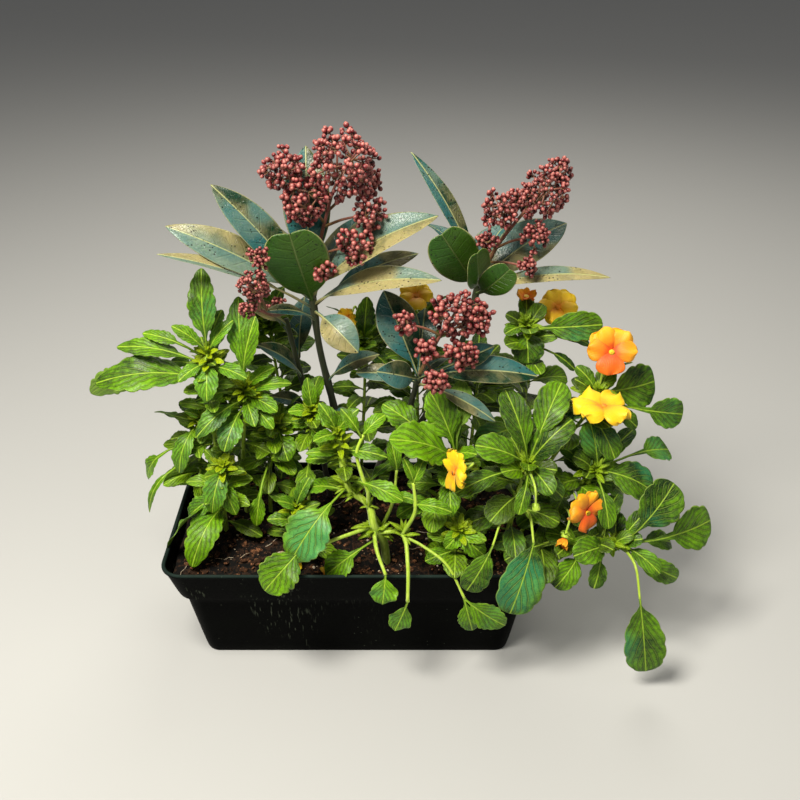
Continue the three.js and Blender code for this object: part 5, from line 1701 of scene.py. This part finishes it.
@dataclass
class SkimmiaShoot(Assembly):
    """A woody stem of the skimmia with its whorls of leathery leaves."""

    shoot: Shoot

    def dress(self) -> None:
        """Adds the stem and its leaves, of which the notched ones are bright and young."""
        tones = WHORL_TONES[self.name]
        for stem in self.shoot.stems:
            joints = [leaf.at for leaf in stem.leaves]
            self.piece.add(stem_tube(stem.path, stem.thickness, Look(), joints, ring=12), 1)
            for index, leaf in enumerate(stem.leaves):
                tone = tones[index] if index < len(tones) else OTHER_TONE
                notched = index in NOTCHED_LEAVES.get(self.name, ())
                kind, young = (NOTCHED, 0.95) if notched else (SKIMMIA, 0.0)
                look = Look(tone, young, 0.05)
                self.piece.add(leaves_on(stem.path, [leaf], kind, Fineness.FULL, look, self.rng))


def golden_ways(count: int, rng: Draws) -> Array:
    """Directions spread evenly over a sphere: even steps of height in golden turns.

    Args:
        count: How many there are.
        rng: Draws how they are turned.

    Returns:
        The directions.
    """
    index = np.arange(count)
    height = 1 - 2 * (index + 0.5) / count
    turn = index * GOLDEN_TURN + rng.uniform(0, TURN)
    flat = np.sqrt(1 - height ** 2)
    return np.stack([flat * np.cos(turn), flat * np.sin(turn), height], -1)


def buds(centres: Array, lean: Array, size: Array, tone: Array) -> Surface:
    """Round buds that are a little pointed at the tip, with four shallow seams.

    A row at share t of the height has the radius of a sphere there, drawn in by a twentieth where
    the seams run.

    Args:
        centres: Their middles.
        lean: The ways their tips point.
        size: Their radii.
        tone: Their tones, which hold painted shade.

    Returns:
        One surface with all the buds.
    """
    ring, rows = 8, 5
    side, over = cross_axes(lean)
    angle = ring_angles(ring)
    seam = 1 - 0.05 * (np.arange(ring) % 2)
    circle = side[:, None] * (np.cos(angle) * seam)[:, None]
    circle = circle + over[:, None] * (np.sin(angle) * seam)[:, None]
    polar = np.linspace(0, np.pi, rows + 2)[1:-1][:, None, None]
    body = size[:, None, None, None]
    rings = centres[:, None, None] + circle[:, None] * np.sin(polar) * body
    rings = rings + lean[:, None, None] * (-np.cos(polar) * 1.05) * body
    start = centres - lean * size[:, None] * 1.05
    end = centres + lean * size[:, None] * 1.18
    return plain_forms(rings, start, end, Look(), tone=tone)


@dataclass
class PanicleHead(Assembly):
    """A head of round red buds on branching stalks.

    Each cluster has limbs that fork from its hub to tufts of buds. The number of tufts grows with
    the square of the cluster's radius in bud radii, times the fill.
    """

    panicle: Panicle
    axis_thickness: float = 4.0
    branch_thickness: float = 2.8
    limb_radii: Pair = (1.1, 0.9)
    twig_radii: Pair = (0.8, 0.6)
    stalk_radii: Pair = (0.55, 0.45)
    tuft_buds: int = 6
    tuft_reach: float = 3.0
    tuft_fill: float = 0.23

    def dress(self) -> None:
        """Adds the axis, and for each cluster its branch and its buds.

        A branch leaves the axis at the share (height of the cluster's foot - height of the axis's
        foot) / reach, between a quarter and the whole of it, and ends at a hub inside the cluster.
        """
        axis = self.panicle.axis
        self.piece.add(stem_tube(axis, self.axis_thickness, Look(0.2), ring=10), 1)
        for cluster in self.panicle.clusters:
            middle = np.array(cluster.middle, float)
            rise = (middle[2] - cluster.radius - axis[0][2]) / self.panicle.reach
            root = smooth_path(axis, np.array([np.clip(rise, 0.25, 1)]))[0]
            hub = middle + (root - middle) * min(0.45, 0.5 * cluster.radius / np.linalg.norm(root - middle))
            path = [tuple(point) for point in (root, (root + hub) / 2 + (0, 0, 1.5), hub)]
            self.piece.add(stem_tube(path, self.branch_thickness, Look(), ring=6), 1)
            self.add_buds(middle, hub, cluster.radius)

    def add_buds(self, middle: Array, hub: Array, radius: float) -> None:
        """Adds a cluster's buds, evenly spread over its sphere and a little inside it, with stalks.

        Args:
            middle: The cluster's middle.
            hub: Where its branch ends.
            radius: Its radius.
        """
        bud, rng = self.panicle.bud, self.rng
        tufts = round(self.tuft_fill * (radius / bud) ** 2 + 2)
        limbs = max(3, tufts // 5)
        limb_ends = middle + golden_ways(limbs, rng) * (0.45 * radius)
        ways = golden_ways(tufts, rng)
        tuft_reach = self.tuft_reach * bud
        knots = middle + ways * ((radius - tuft_reach) * rng.uniform(0.7, 1.1, (tufts, 1)))
        knots = knots + rng.uniform(-2.4, 2.4, (tufts, 3))
        nearest = np.linalg.norm(knots[:, None] - limb_ends[None], axis=-1).argmin(1)
        hubs = np.broadcast_to(hub, (limbs, 3))
        self.piece.add(tubes(hubs, limb_ends, self.limb_radii, Look(0.4), ring=5), 1)
        self.piece.add(tubes(limb_ends[nearest], knots, self.twig_radii, Look(0.4)), 1)

        root = np.repeat(knots, self.tuft_buds, 0)
        count = len(root)
        spread = np.tile(golden_ways(self.tuft_buds, rng), (tufts, 1)) + rng.uniform(-0.5, 0.5, (count, 3))
        aim = unit(spread + 0.8 * np.repeat(ways, self.tuft_buds, 0))
        centres = root + aim * rng.uniform(0.45, 1.1, (count, 1)) * tuft_reach
        size = bud * rng.uniform(0.75, 1.1, count)
        depth = np.linalg.norm(centres - middle, axis=1) / radius
        # The tone darkens buds at random and by the panicle's shade. It is also painted shade: darker deeper
        # in the cluster and on buds that face down.
        tone = rng.uniform(0, 0.7, count) + 1.2 * (0.95 - depth) - 0.25 * aim[:, 2] + self.panicle.shade
        self.piece.add(buds(centres, aim, size, np.clip(tone, 0, 1)))
        self.piece.add(tubes(root, centres - aim * size[:, None] * 0.8, self.stalk_radii, Look(0.5)), 1)


@dataclass(frozen=True)
class RoundedLoop:
    """A rounded rectangle as fixed shares, so that loops of different sizes match point by point.

    A point is corner sign * (half size - corner radius) + corner radius * direction.
    """

    arc: int
    long_side: int
    short_side: int

    def shares(self) -> tuple[Array, Array]:
        """Lays the loop's points out.

        Returns:
            Their corner signs and directions, running left round the loop from +X.
        """
        corners = np.array([(1, 1), (-1, 1), (-1, -1), (1, -1)], float)
        signs, ways = [], []
        for index, sign in enumerate(corners):
            angle = np.radians(90 * index + np.linspace(0, 90, self.arc + 1))
            way = np.stack([np.cos(angle), np.sin(angle)], -1)
            steps = self.long_side if index % 2 == 0 else self.short_side
            t = np.linspace(0, 1, steps + 1)[1:-1, None]
            signs += [np.broadcast_to(sign, way.shape), sign + (corners[(index + 1) % 4] - sign) * t]
            ways += [way, np.broadcast_to(way[-1], (steps - 1, 2))]
        return np.concatenate(signs), np.concatenate(ways)

    def rings(self, levels: Array) -> Array:
        """Loops in space.

        Args:
            levels: Half width, half depth, height and corner radius of each loop.

        Returns:
            Points of shape (levels, points, 3).
        """
        signs, ways = self.shares()
        half, height, corner = levels[:, None, :2], levels[:, None, 2:3], levels[:, None, 3:]
        flat = signs * (half - corner) + ways * corner
        return np.concatenate([flat, np.broadcast_to(height, flat.shape[:2] + (1,))], -1)


@dataclass
class Trough(Assembly):
    """The tapered plastic trough with its collar, rolled rim and four drain holes.

    A level is a loop's half width, half depth, height and corner radius.
    """

    wall: float = 2.4
    floor: float = 3.0
    ledge: float = 84.4
    foot: Level = (151, 66, 0, 14)
    wall_top: Level = (164.5, 79.5, 82, 18)
    collar_foot: Level = (169.5, 84.5, 82, 20)
    collar_top: Level = (178.5, 93.5, 116, 21.5)
    rim: Level = (180, 95, 120, 22)
    sharp_angle: float = 38.0
    holes: tuple[float, ...] = (-100, -34, 34, 100)
    hole_radius: float = 5.0

    @staticmethod
    def shift(level: Level, inset: float, lift: float) -> Level:
        """A level drawn in and raised."""
        return level[0] - inset, level[1] - inset, level[2] + lift, max(level[3] - inset, 1.0)

    @staticmethod
    def climb(low: Level, high: Level, steps: int) -> list[list[float]]:
        """Levels between two others, without the two."""
        shares = np.linspace(0, 1, steps + 1)[1:-1, None]
        return (np.array(low) + (np.array(high) - np.array(low)) * shares).tolist()

    def bend(self, level: Level, *shifts: Pair) -> list[Level]:
        """A rounded edge: levels near another, each drawn in and raised by its own pair."""
        return [self.shift(level, inset, lift) for inset, lift in shifts]

    def levels(self) -> Array:
        """The trough's section.

        Returns:
            Its levels from the foot, up the outside, over the rim and down the inside.
        """
        outside = [
            *self.bend(self.foot, (2.0, 0), (0.6, 0.5), (0, 1.8)),
            *self.climb(self.foot, self.wall_top, 8),
            *self.bend(self.wall_top, (0.1, -0.8), (-0.5, 0)),
            *self.bend(self.collar_foot, (0.9, 0.05), (0.2, 0.4), (-0.1, 1.2)),
            *self.climb(self.collar_foot, self.collar_top, 5),
            *self.bend(self.collar_top, (0.1, -0.5)),
            *self.bend(self.rim, (0.8, -4.0), (0.2, -3.4), (0, -2.4), (0.15, -1.2), (0.7, -0.4), (1.5, 0)),
        ]
        inner_rim = self.shift(self.rim, self.wall + 1.4, -2.4)
        inner_foot = self.shift(self.collar_foot, self.wall, self.ledge - self.collar_foot[2])
        inner_wall = self.shift(self.wall_top, self.wall, self.ledge - self.wall_top[2])
        inner_base = self.shift(self.foot, self.wall, self.floor)
        inside = [
            *self.bend(self.rim, (2.6, -0.3), (3.3, -1.1)), inner_rim,
            *self.climb(inner_rim, inner_foot, 4), inner_foot, inner_wall,
            *self.climb(inner_wall, inner_base, 4), inner_base,
        ]
        return np.array(outside + inside, float)

    def dress(self) -> None:
        """Adds the trough's body."""
        rings = RoundedLoop(10, 24, 12).rings(self.levels())[None]
        self.piece.add(plain_forms(rings, np.zeros((1, 3)), np.array([[0, 0, self.floor]]), Look()))
        self.piece.sharp_angle = self.sharp_angle

    def build(self) -> bpy.types.Object:
        """Builds the trough and cuts its drain holes with rods that are then taken away.

        Returns:
            The object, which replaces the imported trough.
        """
        trough = super().build()
        starts = np.array([[x, 0, -5.0] for x in self.holes])
        rods = Piece("drain_rods", self.slot, self.finishes)
        rods.add(tubes(starts, starts + (0, 0, 15.0), (self.hole_radius, self.hole_radius), Look(), ring=24))
        cutter = rods.show()
        cut = trough.modifiers.new("holes", "BOOLEAN")
        cut.operation, cut.solver, cut.object = "DIFFERENCE", "EXACT", cutter
        shown = trough.evaluated_get(bpy.context.evaluated_depsgraph_get())
        trough.data = bpy.data.meshes.new_from_object(shown)
        trough.modifiers.clear()
        bpy.data.objects.remove(cutter)
        return trough


@dataclass(frozen=True)
class Bits:
    """Flat rounded bits: how many, their least and greatest half length in millimetres, and their half
    width and height as shares of it.
    """

    count: int
    size: Pair
    flatness: Pair


@dataclass
class SoilBed(Assembly):
    """The compost in the trough, with bark, pale bits, roots and fallen petals on it."""

    bark: Bits = Bits(1300, (1.2, 5.8), (0.6, 0.35))
    pale: Bits = Bits(130, (0.7, 1.9), (0.8, 0.7))
    root_count: int = 26
    spread: Pair = (164, 80)
    petals: tuple[Pair, ...] = ((-61, -63), (-28, -77), (-20, -70))
    foot: float = 3.6
    sides: tuple[Level, ...] = ((147.8, 62.8, 3.6, 11), (161.2, 76.2, 83.6, 15), (166.2, 81.2, 85, 17))
    top: tuple[float, float, float] = (172.2, 87.2, 18.6)
    crumb_lengths: tuple[float, ...] = (23, 14, 9, 6.2, 4.4, 3.4)
    crumb_heights: Pair = (3.0, 0.6)

    @staticmethod
    def height(x: Array, y: Array) -> Array:
        """The compost's height: a slope to the back and broad mounds, as in the packed soil."""
        return 105 + 0.05 * y + 2.2 * np.sin(0.061 * x + 0.04 * y) * np.cos(0.083 * y - 0.023 * x)

    def crumbs(self, x: Array, y: Array) -> Array:
        """Crumbs as sines of many lengths and directions added up.

        Args:
            x: Places from left to right.
            y: Places from front to back.

        Returns:
            Heights from about -1 to 1.
        """
        total = np.zeros_like(x)
        for length in self.crumb_lengths:
            for turn in self.rng.uniform(0, TURN, 3):
                course = (x * np.cos(turn) + y * np.sin(turn)) * TURN / length + self.rng.uniform(0, TURN)
                total += np.sin(course) * (length / self.crumb_lengths[0]) ** 0.55 / 4
        return total

    def dress(self) -> None:
        """Adds the compost and what lies on it."""
        self.piece.add(self.bed())
        self.piece.add(self.scatter(self.bark), 1)
        self.piece.add(self.scatter(self.pale), 2)
        for _ in range(self.root_count):
            self.piece.add(self.root(), 2)
        for x, y in self.petals:
            self.piece.add(self.fallen_petal(x, y), 3)

    def bed(self) -> Surface:
        """The compost's body: up the trough's inside and in over the top, with crumbs and mounds.

        Returns:
            The body, whose crumbs are lower along the trough's wall.
        """
        shares = np.linspace(1, 0, 61)[:-1] ** 0.9
        half_width, half_depth, corner = self.top
        top = np.array([[half_width * share, half_depth * share, 0, corner * share] for share in shares])
        rings = RoundedLoop(8, 56, 28).rings(np.concatenate([np.array(self.sides, float), top]))
        upper = rings[len(self.sides):]
        edge = np.minimum(1, (1 - shares) * 9)[:, None]
        rough = self.crumbs(upper[..., 0], upper[..., 1])
        upper[..., 2] = self.height(upper[..., 0], upper[..., 1])
        upper[..., 2] += self.crumb_heights[0] * rough * edge + self.crumb_heights[1] * rough * (1 - edge)
        middle = np.array([[0, 0, float(upper[-1, :, 2].mean())]])
        return plain_forms(rings[None], np.array([[0, 0, self.foot]]), middle, Look())

    def spots(self, count: int) -> Array:
        """Places on the compost, clear of the trough's wall."""
        x, y = (self.rng.uniform(-half, half, count) for half in self.spread)
        return np.stack([x, y, self.height(x, y)], -1)

    def scatter(self, bits: Bits) -> Surface:
        """Bits of many sizes, half sunk in the compost.

        Args:
            bits: How many there are and what they look like.

        Returns:
            One surface with all the bits.
        """
        rng, count, (least, greatest) = self.rng, bits.count, bits.size
        centres = self.spots(count)
        centres[:, 2] += rng.uniform(-0.6, 1.6, count)
        lengths = least + (greatest - least) * rng.uniform(0, 1, count) ** 2.2
        turn = rng.uniform(0, TURN, count)
        along = heading(turn, rng.uniform(-0.5, 0.5, count))
        side = heading(turn + TURN / 4, np.zeros(count))
        ring, polar = 6, np.array([0.7, 1.5, 2.3])[:, None, None]
        angle = ring_angles(ring)[:, None]
        girth = np.sin(polar) * rng.uniform(0.75, 1.1, (count, 3, ring, 1))
        scale = lengths[:, None, None, None]
        rings = centres[:, None, None] - along[:, None, None] * np.cos(polar) * scale
        ways, courses = (side, np.cross(along, side)), (np.cos(angle), np.sin(angle))
        for way, span, course in zip(ways, bits.flatness, courses):
            rings = rings + way[:, None, None] * girth * (course * (span * scale))
        reach = along * lengths[:, None] * 0.9
        return plain_forms(rings, centres - reach, centres + reach, Look(), rng)

    def root(self) -> Surface:
        """A thin pale root that wanders over the compost.

        Returns:
            The root, five steps long.
        """
        start = self.spots(1)[0, :2]
        turn = self.rng.uniform(0, TURN) + np.cumsum(self.rng.uniform(-0.7, 0.7, 5))
        steps = np.stack([np.cos(turn), np.sin(turn)], -1) * self.rng.uniform(3, 7)
        flat = np.clip(start + np.cumsum(steps, 0), np.negative(self.spread), self.spread)
        high = self.height(flat[:, 0], flat[:, 1]) + self.rng.uniform(0.4, 2.4, 5)
        path = [tuple(point) for point in np.column_stack([flat, high])]
        return stem_tube(path, 0.8, Look(), ring=5, taper=0.5, angular=0.0)

    def fallen_petal(self, x: float, y: float) -> Surface:
        """A petal that has dropped on the compost.

        Args:
            x: Its place from left to right.
            y: Its place from front to back.

        Returns:
            The petal.
        """
        root = np.array([[x, y, float(self.height(np.array(x), np.array(y))) + 2.2]])
        turn = self.rng.uniform(0, TURN)
        tip = tuple(root[0] + (11 * np.cos(turn), 11 * np.sin(turn), self.rng.uniform(0, 3)))
        return leaf_surface(root, [Leaf(0, tip, 10, 9)], FALLEN_PETAL, Fineness.SMALL, Look(0.5), self.rng)


@dataclass(frozen=True)
class Lamp:
    """An area light by its place, size and power in watts."""

    name: str
    place: Point
    size: float
    power: float


@dataclass(frozen=True)
class Studio:
    """A pale floor and pale surroundings, soft lights, and a camera where the photograph was taken."""

    camera_place: Point = (0.043, -0.8074, 0.7178)
    camera_pitch: float = 60.0
    lens: float = 45.0
    floor_size: float = 18.0
    floor_tone: Colour = (0.48, 0.49, 0.5)
    sky_tone: Colour = (1.0, 0.99, 0.96)
    sky_strength: float = 0.15
    lamp_tone: Colour = (1.0, 0.94, 0.81)
    lamp_aim: Point = (0.0, 0.0, 0.22)
    lamps: tuple[Lamp, ...] = (
        Lamp("key", (-0.45, -0.6, 1.5), 0.5, 40.0),
        Lamp("fill", (1.2, -0.8, 1.2), 1.2, 5.0),
        Lamp("back", (0.3, 1.2, 1.6), 1.0, 12.0),
    )

    def build(self) -> None:
        """Sets the scene up."""
        scene = bpy.context.scene
        scene.view_settings.view_transform = "Standard"
        self.lay_floor()
        scene.camera = link("camera", bpy.data.cameras.new("camera"))
        scene.camera.data.lens = self.lens
        scene.camera.location = self.camera_place
        scene.camera.rotation_euler = (np.radians(self.camera_pitch), 0, 0)
        scene.world = bpy.data.worlds.new("surroundings")
        scene.world.use_nodes = True
        background = scene.world.node_tree.nodes["Background"]
        background.inputs["Color"].default_value = opaque(self.sky_tone)
        background.inputs["Strength"].default_value = self.sky_strength
        for lamp in self.lamps:
            self.hang(lamp)

    def lay_floor(self) -> None:
        """Adds the floor under the trough."""
        half = self.floor_size / 2
        corners = [(-half, -half, 0), (half, -half, 0), (half, half, 0), (-half, half, 0)]
        mesh = bpy.data.meshes.new("floor")
        mesh.from_pydata(corners, [], [(0, 1, 2, 3)])
        mesh.materials.append(NodeBoard("floor", self.floor_tone).shade({"Roughness": 0.85}))
        floor = link("floor", mesh)

    def hang(self, lamp: Lamp) -> None:
        """Adds a square area light that looks at the middle of the planting.

        Args:
            lamp: The light's row.
        """
        light = bpy.data.lights.new(lamp.name, "AREA")
        light.size, light.energy, light.color = lamp.size, lamp.power, self.lamp_tone
        made = link(lamp.name, light)
        made.location = lamp.place
        aim = Vector(self.lamp_aim) - Vector(lamp.place)
        made.rotation_euler = aim.to_track_quat("-Z", "Y").to_euler()


def main() -> None:
    """Builds every piece in order."""
    logging.basicConfig(level=logging.INFO)
    materials = {finish.name: finish.build() for finish in FINISHES}

    def of(*names: str) -> list[Material]:
        """The materials of these names."""
        return [materials[name] for name in names]

    Trough("planter", "planter", 0, of("dark plastic")).build()
    finishes = of("compost", "bark chips", "pale bits and roots", "yellow petal")
    SoilBed("soil", "soil", SOIL_SEED, finishes).build()
    finishes = of("pansy leaf", "pansy stem")
    for seed, (name, shoot) in enumerate(SHOOTS.items(), 1):
        blooms = [bloom for bloom in (*BLOOMS.values(), *UNOPENED) if bloom.on == name]
        PansyShoot(name, "pansy_leaf", seed, finishes, shoot, blooms).build()
    finishes = of("skimmia leaf", "skimmia stem")
    for seed, (name, shoot) in enumerate(SHRUB.items(), SHRUB_SEED):
        SkimmiaShoot(name, "skimmia_leaf", seed, finishes, shoot).build()
    finishes = of("skimmia bud", "panicle stalk")
    for seed, (name, panicle) in enumerate(PANICLES.items(), PANICLE_SEED):
        PanicleHead(name, "skimmia_bud", seed, finishes, panicle).build()
    for seed, (name, bloom) in enumerate(BLOOMS.items(), BLOOM_SEED):
        petal, throat = ("yellow", "orange") if "yellow" in name else ("orange", "yellow")
        BloomHead(name, f"petal_{petal}", seed, of(f"{petal} petal", f"{throat} petal"), bloom).build()
    Studio().build()
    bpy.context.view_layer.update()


if __name__ == "__main__":
    main()
